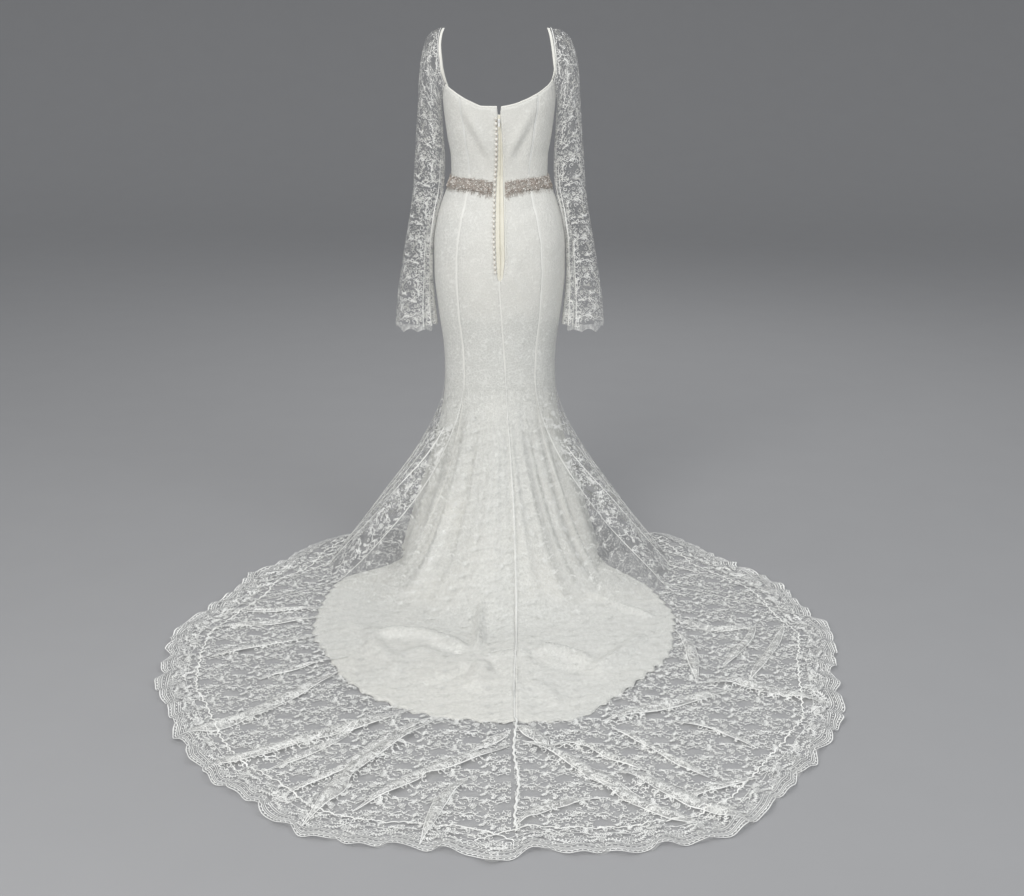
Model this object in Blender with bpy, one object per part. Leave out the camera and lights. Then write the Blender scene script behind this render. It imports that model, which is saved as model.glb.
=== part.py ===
"""A fit-and-flare wedding gown with long lace bell sleeves and a lace train.

Every cloth piece is laid out flat in its own panel coordinates, given a
thickness there, and then mapped onto the worn shape of the gown.
World axes: +Z up, the front of the gown faces -Y, the wearer's left is +X.
The origin is midway between the undersides of the two shoulder straps.
Heights in the tables are metres above the floor; angles are degrees about
the vertical axis, 0 at the centre back and positive towards the left.
"""

import functools
import math

import bmesh
import bpy
from mathutils import Matrix, Vector

# ---------------------------------------------------------------- sizes (m)
SHOULDER_HEIGHT = 1.4615     # floor to the underside of a strap
KNEE_HEIGHT = 0.500          # where the skirt starts to flare
LACE_TOP_HEIGHT = 0.560      # where the lace leaves the lining
LINING_WALL = 0.0020         # lining with the lace mounted on it
LACE_WALL = 0.0012
SEAM_GAP = 0.0003
LACE_CLEARANCE = 0.0012      # lace above lining at the knee
TRAIN_CLEARANCE = 0.0040     # lace above lining on the floor
LACE_SETTLE = 0.090          # over this much past the lining's hem, lace sinks to the floor
SEAM_SWING = 13.5            # degrees that the side seams swing forward, at the floor
SCALLOP_DEPTH = 0.012
BINDING_HEIGHT = 0.0055
BINDING_WALL = 0.0028
STRAP_WIDTH = 0.0066
STRAP_LEANS = {"left": 0.007, "right": 0.024}   # how far in the shoulder tops lie
STRAP_FEET = {"left": 0.0, "right": 0.0105}     # how much higher the feet stand
STRAP_FRONT_DROP = 0.0135    # the front foot below the back one
STRAP_SPREAD = 0.0046        # the front half of a strap lies this much further out
STRAP_WALL = 0.0024
BELT_WALL = 0.0030
BELT_CLEARANCE = 0.0008
TAPE_WALL = 0.0012
ZIP_TOP_HEIGHT = 1.247
ZIP_END_HEIGHT = 0.805
BUTTON_COUNT = 31
BUTTON_RADIUS = 0.0043
BUTTON_RISE = 0.0038
BUTTON_SET_BACK = 0.0044     # from the edge of the opening
CUFF_SCALLOPS = 6
LINING_SCALLOP_DEPTH = 0.010
SLIDER_HEIGHT = 1.2320
SLIDER_SIZE = (0.0070, 0.0110, 0.0030)
CROWN_LENGTH = 0.0060        # the bridge on the slider
CROWN_RISE = 0.0034
CROWN_BAR = 0.0010
CROWN_WIDTH = 0.0020
PULL_AXIS_RISE = 0.0012      # above the top of the slider
PULL_WIDTH = 0.0056
PULL_LENGTH = 0.0150
PULL_WALL = 0.0010

# --------------------------------------------------- tables, named columns
# Body rings: the outer face of the gown from the bust to the knee.
RINGS = [
    # height, half_width, back_depth, front_depth, squareness
    (1.340, 0.1480, 0.1010, 0.0980, 3.2),
    (1.285, 0.1500, 0.1040, 0.1120, 3.1),
    (1.235, 0.1460, 0.1030, 0.1260, 2.7),
    (1.180, 0.1390, 0.0980, 0.1190, 2.4),
    (1.131, 0.1310, 0.0900, 0.1020, 2.3),
    (1.085, 0.1300, 0.0860, 0.0950, 2.2),
    (1.045, 0.1430, 0.0920, 0.0990, 2.2),
    (1.010, 0.1570, 0.1010, 0.1050, 2.2),
    (0.960, 0.1715, 0.1140, 0.1100, 2.2),
    (0.892, 0.1800, 0.1260, 0.1110, 2.2),
    (0.820, 0.1800, 0.1300, 0.1080, 2.2),
    (0.713, 0.1700, 0.1240, 0.1030, 2.2),
    (0.601, 0.1560, 0.1140, 0.1010, 2.1),
    (0.545, 0.1535, 0.1130, 0.1020, 2.1),
    (0.500, 0.1550, 0.1150, 0.1040, 2.1),
    (0.440, 0.1600, 0.1200, 0.1100, 2.1),
]
# Upper edge of the gown; its right corner hangs a little higher.
TOP_EDGE = [
    # angle, height_left, height_right
    (0.0, 1.2700, 1.2683), (12.0, 1.2700, 1.2720), (24.0, 1.2705, 1.2779),
    (30.0, 1.2752, 1.2830), (36.0, 1.2814, 1.2885), (42.0, 1.2882, 1.2955),
    (48.0, 1.2965, 1.3032), (58.5, 1.3121, 1.3198), (69.0, 1.3225, 1.3330),
    (79.5, 1.3010, 1.3080), (90.0, 1.2900, 1.2930), (101.3, 1.2980, 1.3050),
    (112.5, 1.3090, 1.3195), (123.8, 1.2890, 1.2960), (135.0, 1.2640, 1.2670),
    (158.0, 1.2400, 1.2400), (180.0, 1.2300, 1.2300),
]
# The opening left by the zip in the centre back seam.
ZIP_OPENING = [
    # height, half_width, centre_x
    (1.300, 0.0055, 0.0), (1.272, 0.0052, 0.0), (1.249, 0.0036, 0.0),
    (1.236, 0.0038, 0.0), (1.208, 0.0046, -0.0016), (1.180, 0.0056, -0.0030),
    (1.145, 0.0066, -0.0032), (1.115, 0.0074, -0.0028), (1.065, 0.0090, -0.0016),
    (0.980, 0.0115, -0.0014), (0.920, 0.0122, -0.0018), (0.870, 0.0116, -0.0032),
    (0.830, 0.0078, -0.0026), (0.800, 0.00015, 0.0), (0.000, 0.00015, 0.0),
]
# Plan of the skirt: where the lining meets the floor and where it ends.
LINING_PLAN = [
    # angle, touch_radius, hem_radius_left, hem_radius_right
    (0.0, 0.600, 1.092, 1.092), (8.0, 0.590, 1.070, 1.095), (15.0, 0.560, 1.026, 1.018),
    (22.0, 0.520, 0.955, 0.935), (30.0, 0.470, 0.852, 0.850), (36.0, 0.430, 0.796, 0.760),
    (42.0, 0.395, 0.718, 0.690), (48.0, 0.365, 0.640, 0.590), (54.0, 0.338, 0.574, 0.500),
    (60.0, 0.315, 0.505, 0.390), (66.0, 0.296, 0.330, 0.315), (76.0, 0.282, 0.288, 0.288),
    (90.0, 0.274, 0.279, 0.279), (120.0, 0.270, 0.274, 0.274), (150.0, 0.274, 0.278, 0.278),
    (180.0, 0.278, 0.282, 0.282),
]
LACE_PLAN = [
    # angle, touch_radius, hem_radius_left, hem_radius_right
    (0.0, 0.620, 1.640, 1.640), (3.0, 0.619, 1.600, 1.605), (8.0, 0.614, 1.600, 1.620),
    (15.0, 0.600, 1.575, 1.620), (20.0, 0.592, 1.495, 1.560), (25.0, 0.584, 1.445, 1.480),
    (30.0, 0.575, 1.370, 1.400), (35.0, 0.566, 1.285, 1.340), (40.0, 0.558, 1.230, 1.235),
    (45.0, 0.550, 1.145, 1.150), (50.0, 0.542, 1.075, 1.090), (55.0, 0.534, 0.995, 1.035),
    (60.0, 0.526, 0.880, 0.930), (66.0, 0.516, 0.785, 0.860), (72.0, 0.505, 0.735, 0.775),
    (80.0, 0.488, 0.620, 0.650), (88.0, 0.468, 0.575, 0.585), (98.0, 0.440, 0.500, 0.530),
    (110.0, 0.405, 0.425, 0.435), (130.0, 0.365, 0.378, 0.378), (155.0, 0.340, 0.350, 0.350),
    (180.0, 0.335, 0.344, 0.344),
]
# Soft flutes that hang from the knee; both layers share them.
FLUTES = [
    # angle at the floor, depth, half_angle
    (-66.0, 0.014, 9.0), (-41.0, 0.015, 8.0), (-21.0, 0.008, 7.0), (6.5, 0.010, 6.0),
    (36.0, 0.020, 9.0), (60.0, 0.010, 8.0), (92.0, 0.012, 11.0), (-94.0, 0.012, 11.0),
    (125.0, 0.010, 12.0), (-125.0, 0.010, 12.0), (160.0, 0.008, 12.0), (-160.0, 0.008, 12.0),
]
# Folds of the lining's train, as straight ridges on the floor.
LINING_FOLDS = [
    # x0, y0, x1, y1, height, half_width
    (0.190, 0.690, 0.060, 0.765, 0.012, 0.045), (0.060, 0.500, 0.055, 0.720, 0.012, 0.040),
    (-0.210, 0.900, -0.375, 0.705, 0.010, 0.045), (-0.046, 0.850, -0.027, 0.990, 0.008, 0.035),
    (0.250, 0.780, 0.330, 0.600, 0.010, 0.045), (-0.120, 0.640, -0.260, 0.620, 0.009, 0.040),
]
# Folds of the lace train, fanning out from the hem of the lining.
TRAIN_FOLDS = [
    # x0, y0, x1, y1, height, half_width
    (0.400, 0.870, 0.700, 1.160, 0.022, 0.055), (0.220, 1.050, 0.610, 1.290, 0.022, 0.055),
    (0.440, 0.520, 0.760, 0.590, 0.016, 0.045), (0.460, 0.640, 0.720, 0.760, 0.016, 0.045),
    (0.150, 1.070, 0.450, 1.430, 0.016, 0.045), (0.130, 1.100, 0.370, 1.520, 0.024, 0.055),
    (-0.010, 1.210, 0.280, 1.460, 0.024, 0.055), (-0.020, 1.140, 0.130, 1.560, 0.016, 0.045),
    (-0.050, 1.130, -0.280, 1.400, 0.022, 0.055), (-0.060, 1.240, -0.180, 1.520, 0.016, 0.045),
    (-0.110, 1.190, -0.390, 1.500, 0.020, 0.050), (-0.240, 1.280, -0.510, 1.530, 0.026, 0.060),
    (-0.240, 1.120, -0.510, 1.360, 0.016, 0.045), (-0.250, 1.060, -0.560, 0.930, 0.022, 0.055),
    (-0.500, 0.890, -0.770, 1.000, 0.022, 0.055), (-0.460, 0.560, -0.490, 0.860, 0.014, 0.045),
    (-0.460, 0.530, -0.700, 0.560, 0.016, 0.045), (-0.600, 0.850, -0.760, 0.560, 0.014, 0.045),
]
# Sleeve rings: the outer and inner edge of each and half its depth.
SLEEVE_RINGS = [
    # outer_x, outer_height, inner_x, inner_height, half_depth, armhole_share
    (0.1590, 1.4640, 0.1550, 1.2860, 0.0640, 1.00),
    (0.1740, 1.4565, 0.1560, 1.2800, 0.0650, 0.55),
    (0.1895, 1.4415, 0.1565, 1.2720, 0.0650, 0.25),
    (0.2000, 1.4160, 0.1560, 1.2610, 0.0640, 0.10),
    (0.2080, 1.3800, 0.1545, 1.2460, 0.0620, 0.03),
    (0.2120, 1.3330, 0.1530, 1.2270, 0.0590, 0.00),
    (0.2150, 1.2700, 0.1510, 1.1980, 0.0560, 0.00),
    (0.2240, 1.1700, 0.1480, 1.1300, 0.0530, 0.00),
    (0.2340, 1.0600, 0.1540, 1.0500, 0.0510, 0.00),
    (0.2440, 0.9800, 0.1740, 0.9770, 0.0500, 0.00),
    (0.2560, 0.9050, 0.1870, 0.9030, 0.0510, 0.00),
    (0.2700, 0.8200, 0.1885, 0.8190, 0.0550, 0.00),
    (0.2830, 0.7500, 0.1860, 0.7490, 0.0610, 0.00),
    (0.2920, 0.6650, 0.1790, 0.6650, 0.0700, 0.00),
]
STRAP_PATH = [
    # x, y, height: from the back corner of the neckline to the shoulder top
    (0.1406, 0.0543, 1.3240), (0.1478, 0.0590, 1.3450), (0.1552, 0.0590, 1.3820),
    (0.1612, 0.0500, 1.4180), (0.1590, 0.0330, 1.4450), (0.1545, 0.0150, 1.4590),
    (0.1530, 0.0000, 1.4615),
]
# The sewn gores: the seams at their two edges and their columns.
GORES = [
    # name, from_angle, to_angle, columns of the body, whether it has a train
    ("front", 135.0, 225.0, 5, False), ("side_front_left", 90.0, 135.0, 4, False),
    ("side_front_right", 225.0, 270.0, 4, False), ("side_back_left", 48.0, 90.0, 4, True),
    ("side_back_right", 270.0, 312.0, 4, True), ("back_left", 0.0, 48.0, 8, True),
    ("back_right", 312.0, 360.0, 8, True),
]
BODY_HEIGHTS = [
    1.180, 1.145, 1.115, 1.085, 1.0625, 1.040, 1.010, 0.970, 0.920, 0.870,
    0.830, 0.800, 0.740, 0.660, 0.580, 0.500,
]
BUST_ROWS = 3                # from the neckline to the first of those heights
FALL_ROWS = 5                # from the knee to where a layer meets the floor
LINING_TRAIN_ROWS = 3        # on the floor; the lace lies on it with as many rows
LACE_TRAIN_ROWS = 6          # beyond the lining's hem

# ------------------------------------------------------------------ colours
IVORY = ((0.68, 0.67, 0.62), 0.75, 0.0)
BRIGHT_IVORY = ((0.82, 0.80, 0.70), 0.6, 0.0)
LACE_IVORY = ((0.58, 0.58, 0.54), 0.8, 0.0)
CHAMPAGNE = ((0.46, 0.36, 0.30), 0.35, 0.4)
WHITE_ENAMEL = ((0.85, 0.85, 0.82), 0.3, 0.0)


def clear_scene():
    for obj in list(bpy.data.objects):
        bpy.data.objects.remove(obj)


def material(name, finish):
    colour, roughness, metallic = finish
    made = bpy.data.materials.get(name) or bpy.data.materials.new(name)
    made.use_nodes = True
    shader = made.node_tree.nodes["Principled BSDF"]
    shader.inputs["Base Color"].default_value = (*colour, 1.0)
    shader.inputs["Roughness"].default_value = roughness
    shader.inputs["Metallic"].default_value = metallic
    return made


def finish_object(name, bm, finish, smooth=True):
    """Puts a closed mesh in the scene, its faces outwards, with its material."""
    bm.normal_update()
    bmesh.ops.recalc_face_normals(bm, faces=bm.faces)
    if bm.calc_volume(signed=True) < 0.0:
        bmesh.ops.reverse_faces(bm, faces=bm.faces)
    mesh = bpy.data.meshes.new(name)
    bm.to_mesh(mesh)
    bm.free()
    if smooth:
        mesh.shade_smooth()
        mesh.set_sharp_from_angle(angle=math.radians(50.0))
    obj = bpy.data.objects.new(name, mesh)
    obj.data.materials.append(material(finish[0], finish[1]))
    bpy.context.scene.collection.objects.link(obj)
    return obj


# ------------------------------------------------------------ small formulas
def smooth_step(value):
    value = min(max(value, 0.0), 1.0)
    return value * value * (3.0 - 2.0 * value)


def look_up(table, key, column):
    """Reads a column of a table at key, by a monotone cubic through its rows."""
    rows = table if table[0][0] < table[-1][0] else table[::-1]
    key = min(max(key, rows[0][0]), rows[-1][0])
    i = 0
    while i < len(rows) - 2 and key > rows[i + 1][0]:
        i += 1

    def slope(k):
        return (rows[k + 1][column] - rows[k][column]) / (rows[k + 1][0] - rows[k][0])

    def tangent(k):
        if k == 0 or k == len(rows) - 1:
            return slope(0 if k == 0 else k - 1)
        before, after = slope(k - 1), slope(k)
        if before * after <= 0.0:
            return 0.0
        return 2.0 * before * after / (before + after)

    span = rows[i + 1][0] - rows[i][0]
    t = (key - rows[i][0]) / span
    m0, m1 = tangent(i) * span, tangent(i + 1) * span
    p0, p1 = rows[i][column], rows[i + 1][column]
    return (
        (2 * t**3 - 3 * t**2 + 1) * p0
        + (t**3 - 2 * t**2 + t) * m0
        + (-2 * t**3 + 3 * t**2) * p1
        + (t**3 - t**2) * m1
    )


def folded_angle(angle):
    """The angle from the centre back, 0 to 180, and the side: 1 left, -1 right."""
    wrapped = (angle + 180.0) % 360.0 - 180.0
    return abs(wrapped), (1.0 if wrapped >= 0.0 else -1.0)


def world(x, y, height):
    return Vector((x, y, height - SHOULDER_HEIGHT))


# ----------------------------------------------------------- the worn shape
def ring_radius(angle, height):
    """Distance of the gown's outer face from the vertical axis."""
    half_width, back, front, squareness = (look_up(RINGS, height, k) for k in (1, 2, 3, 4))
    across, along = math.sin(math.radians(angle)), math.cos(math.radians(angle))
    depth = back if along >= 0.0 else front
    total = (abs(across) / half_width) ** squareness + (abs(along) / depth) ** squareness
    return total ** (-1.0 / squareness)


def body_point(angle, height, out=0.0):
    """A point on the body, moved out by a distance along the true normal."""
    def at(a, h):
        r = ring_radius(a, h)
        return world(r * math.sin(math.radians(a)), r * math.cos(math.radians(a)), h)

    point = at(angle, height)
    if out == 0.0:
        return point
    return point + out * normal_of(at, angle, height)


def normal_of(surface, angle, along):
    """Outward unit normal of surface(angle, along) by small differences."""
    around = surface(angle + 0.5, along) - surface(angle - 0.5, along)
    down = surface(angle, along + 0.002) - surface(angle, along - 0.002)
    normal = around.cross(down).normalized()
    outward = Vector((math.sin(math.radians(angle)), math.cos(math.radians(angle)), 0.45))
    return normal if normal.dot(outward) > 0.0 else -normal


def body_top(angle):
    away, side = folded_angle(angle)
    return look_up(TOP_EDGE, away, 1 if side > 0.0 else 2)


def plan_radii(plan, angle):
    away, side = folded_angle(angle)
    return look_up(plan, away, 1), look_up(plan, away, 2 if side > 0.0 else 3)


def flute_depth(angle):
    """How far the hanging flutes stand out at the floor."""
    total = 0.0
    for centre, depth, half_angle in FLUTES:
        off = abs((angle - centre + 180.0) % 360.0 - 180.0) / half_angle
        if off < 1.0:
            total += depth * (0.5 + 0.5 * math.cos(math.pi * off))
    return total


def ridge_height(folds, x, y):
    """Height of the highest fold over a point of the floor."""
    highest = 0.0
    for x0, y0, x1, y1, height, half_width in folds:
        length = math.hypot(x1 - x0, y1 - y0)
        along = ((x - x0) * (x1 - x0) + (y - y0) * (y1 - y0)) / length**2
        across = abs((x - x0) * (y1 - y0) - (y - y0) * (x1 - x0)) / length
        if -0.1 < along < 1.1 and across < half_width:
            ends = smooth_step((along + 0.1) / 0.25) * smooth_step((1.1 - along) / 0.2)
            highest = max(highest, height * ends * (0.5 + 0.5 * math.cos(math.pi * across / half_width)))
    return highest


def fall_line(angle):
    """Control points (radius, height) of the lining from the knee to the floor."""
    touch, hem = plan_radii(LINING_PLAN, angle)
    sweep = smooth_step((hem - touch) / 0.30)
    start = ring_radius(angle, KNEE_HEIGHT)
    run, drop = touch - start, KNEE_HEIGHT - LINING_WALL
    return (
        (start, KNEE_HEIGHT),
        (start + 0.08 * run, KNEE_HEIGHT - 0.36 * drop),
        (touch - (0.16 + 0.32 * sweep) * run, LINING_WALL + (0.20 - 0.17 * sweep) * drop),
        (touch, LINING_WALL),
    )


def on_curve(points, t):
    """The point of a cubic curve at t, and its outward unit normal."""
    weights = ((1 - t) ** 3, 3 * t * (1 - t) ** 2, 3 * t * t * (1 - t), t**3)
    slopes = (-((1 - t) ** 2), (1 - t) * (1 - 3 * t), t * (2 - 3 * t), t * t)
    radius, height = (sum(w * p[k] for w, p in zip(weights, points)) for k in (0, 1))
    run, rise = (sum(w * p[k] for w, p in zip(slopes, points)) for k in (0, 1))
    length = math.hypot(run, rise)
    return radius, height, -rise / length, run / length


def swept_angle(angle, row):
    """Gores fan out towards the back: their seams swing forward on the way down."""
    away, side = folded_angle(angle)
    return side * (away + SEAM_SWING * smooth_step(row / FALL_ROWS) * math.sin(math.radians(away)))


def fluted(angle, radius, height):
    """The radius with the hanging flutes, which fade out on the floor."""
    fallen = smooth_step((KNEE_HEIGHT - height) / 0.40)
    touch = plan_radii(LINING_PLAN, angle)[0]
    return radius + flute_depth(angle) * fallen * (1.0 - smooth_step((radius - touch) / 0.25))


def lining_relief(angle, radius):
    """Height of the lining's own folds over a point of the floor."""
    touch = plan_radii(LINING_PLAN, angle)[0]
    x, y = radius * math.sin(math.radians(angle)), radius * math.cos(math.radians(angle))
    return smooth_step((radius - touch + 0.12) / 0.10) * ridge_height(LINING_FOLDS, x, y)


def placed(angle, radius, height):
    turn = math.radians(angle)
    return world(radius * math.sin(turn), radius * math.cos(turn), height)


def lining_surface(angle, row, notch=0.0):
    """Outer face of the lining's skirt: row 0 at the knee, the last at the hem."""
    away = swept_angle(angle, row)
    points = fall_line(away)
    if row <= FALL_ROWS:
        radius, height, _, _ = on_curve(points, row / FALL_ROWS)
    else:
        hem = plan_radii(LINING_PLAN, away)[1] - notch
        radius = points[3][0] + (hem - points[3][0]) * (row - FALL_ROWS) / LINING_TRAIN_ROWS
        height = LINING_WALL
    radius = fluted(away, radius, height)
    return placed(away, radius, height + lining_relief(away, radius))


def lining_columns(angle):
    """The lining's columns on either side of an angle, and the share between."""
    turn = angle % 360.0
    for _, start, end, columns, _ in GORES:
        if start <= turn < end:
            step = (end - start) / (2 * columns)
            low = start + step * math.floor((turn - start) / step)
            return low, low + step, (turn - low) / step
    return 0.0, 3.0, 0.0


@functools.cache
def lining_profile(column):
    """Radius and height of the lining's points on the floor, along one column."""
    points = [lining_surface(column, FALL_ROWS + k) for k in range(LINING_TRAIN_ROWS + 1)]
    return [(math.hypot(p.x, p.y), p.z + SHOULDER_HEIGHT) for p in points]


def height_on_lining(angle, radius):
    """Height of the lining's upper face where it lies on the floor."""
    def on_column(column):
        profile = lining_profile(column % 360.0)
        for (r0, h0), (r1, h1) in zip(profile, profile[1:]):
            if r0 <= radius < r1:
                return h0 + (h1 - h0) * (radius - r0) / (r1 - r0)
        return profile[0][1] if radius < profile[0][0] else profile[-1][1]

    low, high, share = lining_columns(angle)
    return on_column(low) * (1.0 - share) + on_column(high) * share


def lace_surface(angle, row, notch=0.0):
    """Outer face of the lace skirt: it clears the lining, and flares at the sides."""
    away = swept_angle(angle, row)
    points = fall_line(away)
    touch, hem = plan_radii(LACE_PLAN, away)
    lining_touch = points[3][0]
    lining_hem = plan_radii(LINING_PLAN, away)[1]
    base, height, out, up = on_curve(points, min(row / FALL_ROWS, 1.0))
    fallen = (KNEE_HEIGHT - height) / (KNEE_HEIGHT - LINING_WALL)
    clearance = LACE_WALL + LACE_CLEARANCE + (TRAIN_CLEARANCE - LACE_CLEARANCE) * fallen
    radius = base + clearance * out + (touch - lining_touch) * fallen**1.5
    if row > FALL_ROWS:
        step = min(0.020, (hem - radius) / (LINING_TRAIN_ROWS + LACE_TRAIN_ROWS))
        past = row - FALL_ROWS
        share = min(past / LINING_TRAIN_ROWS, 1.0)
        on_row = lining_touch + (lining_hem - lining_touch) * share
        radius = max(on_row, radius + step * LINING_TRAIN_ROWS * share)
        if past > LINING_TRAIN_ROWS:
            radius += (hem - notch - radius) * (past - LINING_TRAIN_ROWS) / LACE_TRAIN_ROWS
    radius = fluted(away, radius, height)
    relief = lining_relief(away, radius)
    if row >= FALL_ROWS:
        relief = height_on_lining(angle, radius) - LINING_WALL
    over = 1.0 - smooth_step((radius - lining_hem - 0.01) / LACE_SETTLE)
    height += (clearance * up + relief) * over + (LACE_WALL - LINING_WALL) * (1.0 - over)
    x, y = radius * math.sin(math.radians(away)), radius * math.cos(math.radians(away))
    own = ridge_height(TRAIN_FOLDS, x, y) * smooth_step((radius - lining_hem + 0.10) / 0.12)
    return placed(away, radius, height + own)


# -------------------------------------------------------- panels in the flat
def flat_panel(columns, rows, fine_rows):
    """A panel in its own coordinates: x from 0 to 1 across, y the row number.

    The last fine_rows rows are cut into twice as many columns. A second layer
    at z = 1 and the edges between the layers close it. Panels that meet split
    their edge faces along the same diagonals, so that the gap stays even.
    """
    bm = bmesh.new()
    bmesh.ops.create_grid(bm, x_segments=columns, y_segments=rows, size=1.0)
    for vert in bm.verts:
        vert.co.x = 0.5 + 0.5 * vert.co.x
        vert.co.y = rows * (0.5 + 0.5 * vert.co.y)
    if fine_rows:
        first = rows - fine_rows + 0.5
        level = [
            e for e in bm.edges
            if abs(e.verts[0].co.y - e.verts[1].co.y) < 0.1 and e.verts[0].co.y > first
        ]
        bmesh.ops.subdivide_edges(bm, edges=level, cuts=1, use_grid_fill=True)
    bmesh.ops.triangulate(bm, faces=bm.faces, quad_method="FIXED")
    made = bmesh.ops.extrude_face_region(bm, geom=bm.faces[:], use_keep_orig=True)
    for item in made["geom"]:
        if isinstance(item, bmesh.types.BMVert):
            item.co.z = 1.0
    for face in [f for f in bm.faces if len(f.verts) == 4]:
        first = min((v for v in face.verts if v.co.z < 0.5), key=lambda v: v.co.x + v.co.y)
        last = max((v for v in face.verts if v.co.z > 0.5), key=lambda v: v.co.x + v.co.y)
        bmesh.utils.face_split(face, first, last)
    return bm


def flat_tube(columns, rows):
    """A tube in its own coordinates: the angle about Z across, z the row number.

    The outer layer has radius 2 and the inner one radius 1.
    """
    bm = bmesh.new()
    ring = bmesh.ops.create_circle(bm, segments=columns, radius=2.0)["verts"]
    edges = list({e for v in ring for e in v.link_edges})
    for _ in range(rows):
        made = bmesh.ops.extrude_edge_only(bm, edges=edges)["geom"]
        bmesh.ops.translate(bm, verts=[g for g in made if isinstance(g, bmesh.types.BMVert)], vec=(0, 0, 1))
        edges = [g for g in made if isinstance(g, bmesh.types.BMEdge)]
    bmesh.ops.triangulate(bm, faces=bm.faces, quad_method="FIXED")
    made = bmesh.ops.extrude_face_region(bm, geom=bm.faces[:], use_keep_orig=True)
    for item in made["geom"]:
        if isinstance(item, bmesh.types.BMVert):
            item.co.x *= 0.5
            item.co.y *= 0.5
    return bm


def map_panel(name, bm, place, finish):
    """Moves each point of a flat panel to place(across, row, inner)."""
    for vert in bm.verts:
        vert.co = place(vert.co.x, vert.co.y, vert.co.z)
    return finish_object(name, bm, finish)


def between(values, position):
    """Reads a list at a position that may lie between two of its numbers."""
    low = min(int(position), len(values) - 2)
    return values[low] + (values[low + 1] - values[low]) * (position - low)


def seam_angle(seam, toward, radius, gap):
    """The seam's angle, moved off it by a distance at this radius."""
    return seam + toward * math.degrees(gap / radius)


# ------------------------------------------------------------------ pieces
def zip_edge(height, side):
    """Distance from the centre back to the zip opening's left (1) or right (-1) edge."""
    return look_up(ZIP_OPENING, height, 1) + side * look_up(ZIP_OPENING, height, 2)


def gap_at(seam, height, side):
    """The gap on one side of a seam: the zip's opening at the centre back."""
    if seam % 360.0 == 0.0:
        return zip_edge(height, side)
    return 0.5 * SEAM_GAP


def gore_angle(across, start, end, height, radius):
    low = seam_angle(start, 1.0, radius, gap_at(start, height, 1.0))
    high = seam_angle(end, -1.0, radius, gap_at(end, height, -1.0))
    return low + (high - low) * across


def on_floor(point, thickness_left):
    """Keeps a wall's lower face on the floor and its upper face above that."""
    point.z = max(point.z, thickness_left - SHOULDER_HEIGHT)
    return point


def scallop(depth, across, count, train):
    """How far a scalloped hem is notched; it is plain where there is no train."""
    return depth * abs(math.cos(math.pi * across * count)) * smooth_step(train / 0.20)


def lining_gore(name, start, end, columns, has_train):
    knee_row = BUST_ROWS + len(BODY_HEIGHTS) - 1
    floor_row = knee_row + FALL_ROWS
    floor_rows = LINING_TRAIN_ROWS if has_train else 1

    def body_height(angle, row):
        if row >= BUST_ROWS:
            return between(BODY_HEIGHTS, row - BUST_ROWS)
        top = body_top(angle) - BINDING_HEIGHT - SEAM_GAP
        return top + (BODY_HEIGHTS[0] - top) * row / BUST_ROWS

    def place(across, row, inner):
        angle = start + (end - start) * across
        if row <= knee_row:
            height = body_height(angle, row)
            angle = gore_angle(across, start, end, height, ring_radius(angle, height))
            return body_point(angle, body_height(angle, row), -inner * LINING_WALL)
        fallen = row - knee_row
        if row > floor_row:
            fallen = FALL_ROWS + (row - floor_row) * LINING_TRAIN_ROWS / floor_rows
        notch = 0.0
        if row > floor_row + floor_rows - 0.5:
            touch, hem = plan_radii(LINING_PLAN, swept_angle(angle, fallen))
            notch = scallop(LINING_SCALLOP_DEPTH, across, columns, hem - touch)
        middle = lining_surface(angle, fallen)
        angle = gore_angle(across, start, end, 0.0, math.hypot(middle.x, middle.y))
        point = wall_point(lining_surface, angle, fallen, notch, inner * LINING_WALL)
        return on_floor(point, (1.0 - inner) * LINING_WALL)

    flat = flat_panel(columns, floor_row + floor_rows, FALL_ROWS + floor_rows)
    return map_panel(name, flat, place, ("satin and lace", IVORY))


def lace_gore(name, start, end, columns, has_train):
    band_rows = 2
    floor_row = band_rows + FALL_ROWS
    all_floor_rows = LINING_TRAIN_ROWS + LACE_TRAIN_ROWS
    floor_rows = all_floor_rows if has_train else 2
    fine = has_train and columns > 8

    def place(across, row, inner):
        angle = start + (end - start) * across
        if row <= band_rows:
            height = LACE_TOP_HEIGHT + (KNEE_HEIGHT - LACE_TOP_HEIGHT) * row / band_rows
            angle = gore_angle(across, start, end, 0.0, ring_radius(angle, height))
            return body_point(angle, height, LACE_CLEARANCE + (1.0 - inner) * LACE_WALL)
        fallen = row - band_rows
        if row > floor_row:
            fallen = FALL_ROWS + (row - floor_row) * all_floor_rows / floor_rows
        notch = 0.0
        if row > floor_row + floor_rows - 0.5:
            touch, hem = plan_radii(LACE_PLAN, swept_angle(angle, fallen))
            notch = scallop(SCALLOP_DEPTH, across, columns, hem - touch)
        middle = lace_surface(angle, fallen)
        angle = gore_angle(across, start, end, 0.0, math.hypot(middle.x, middle.y))
        point = wall_point(lace_surface, angle, fallen, notch, inner * LACE_WALL)
        return on_floor(point, (1.0 - inner) * LACE_WALL)

    flat = flat_panel(columns, floor_row + floor_rows, floor_rows if fine else 0)
    return map_panel(name, flat, place, ("lace", LACE_IVORY))


def wall_point(surface, angle, row, notch, depth):
    """A point of a skirt layer, at a depth behind its outer face."""
    point = surface(angle, row, notch)
    if depth == 0.0:
        return point
    around = surface(angle + 0.5, row, notch) - surface(angle - 0.5, row, notch)
    down = surface(angle, row, notch) - surface(angle, row - 0.1, notch)
    normal = around.cross(down).normalized()
    sideways = Vector((point.y, -point.x, 0.0)).normalized()
    inward = (sideways * normal.dot(sideways) - normal).normalized()
    return point + inward * depth / max(-inward.dot(normal), 0.5)


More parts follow.
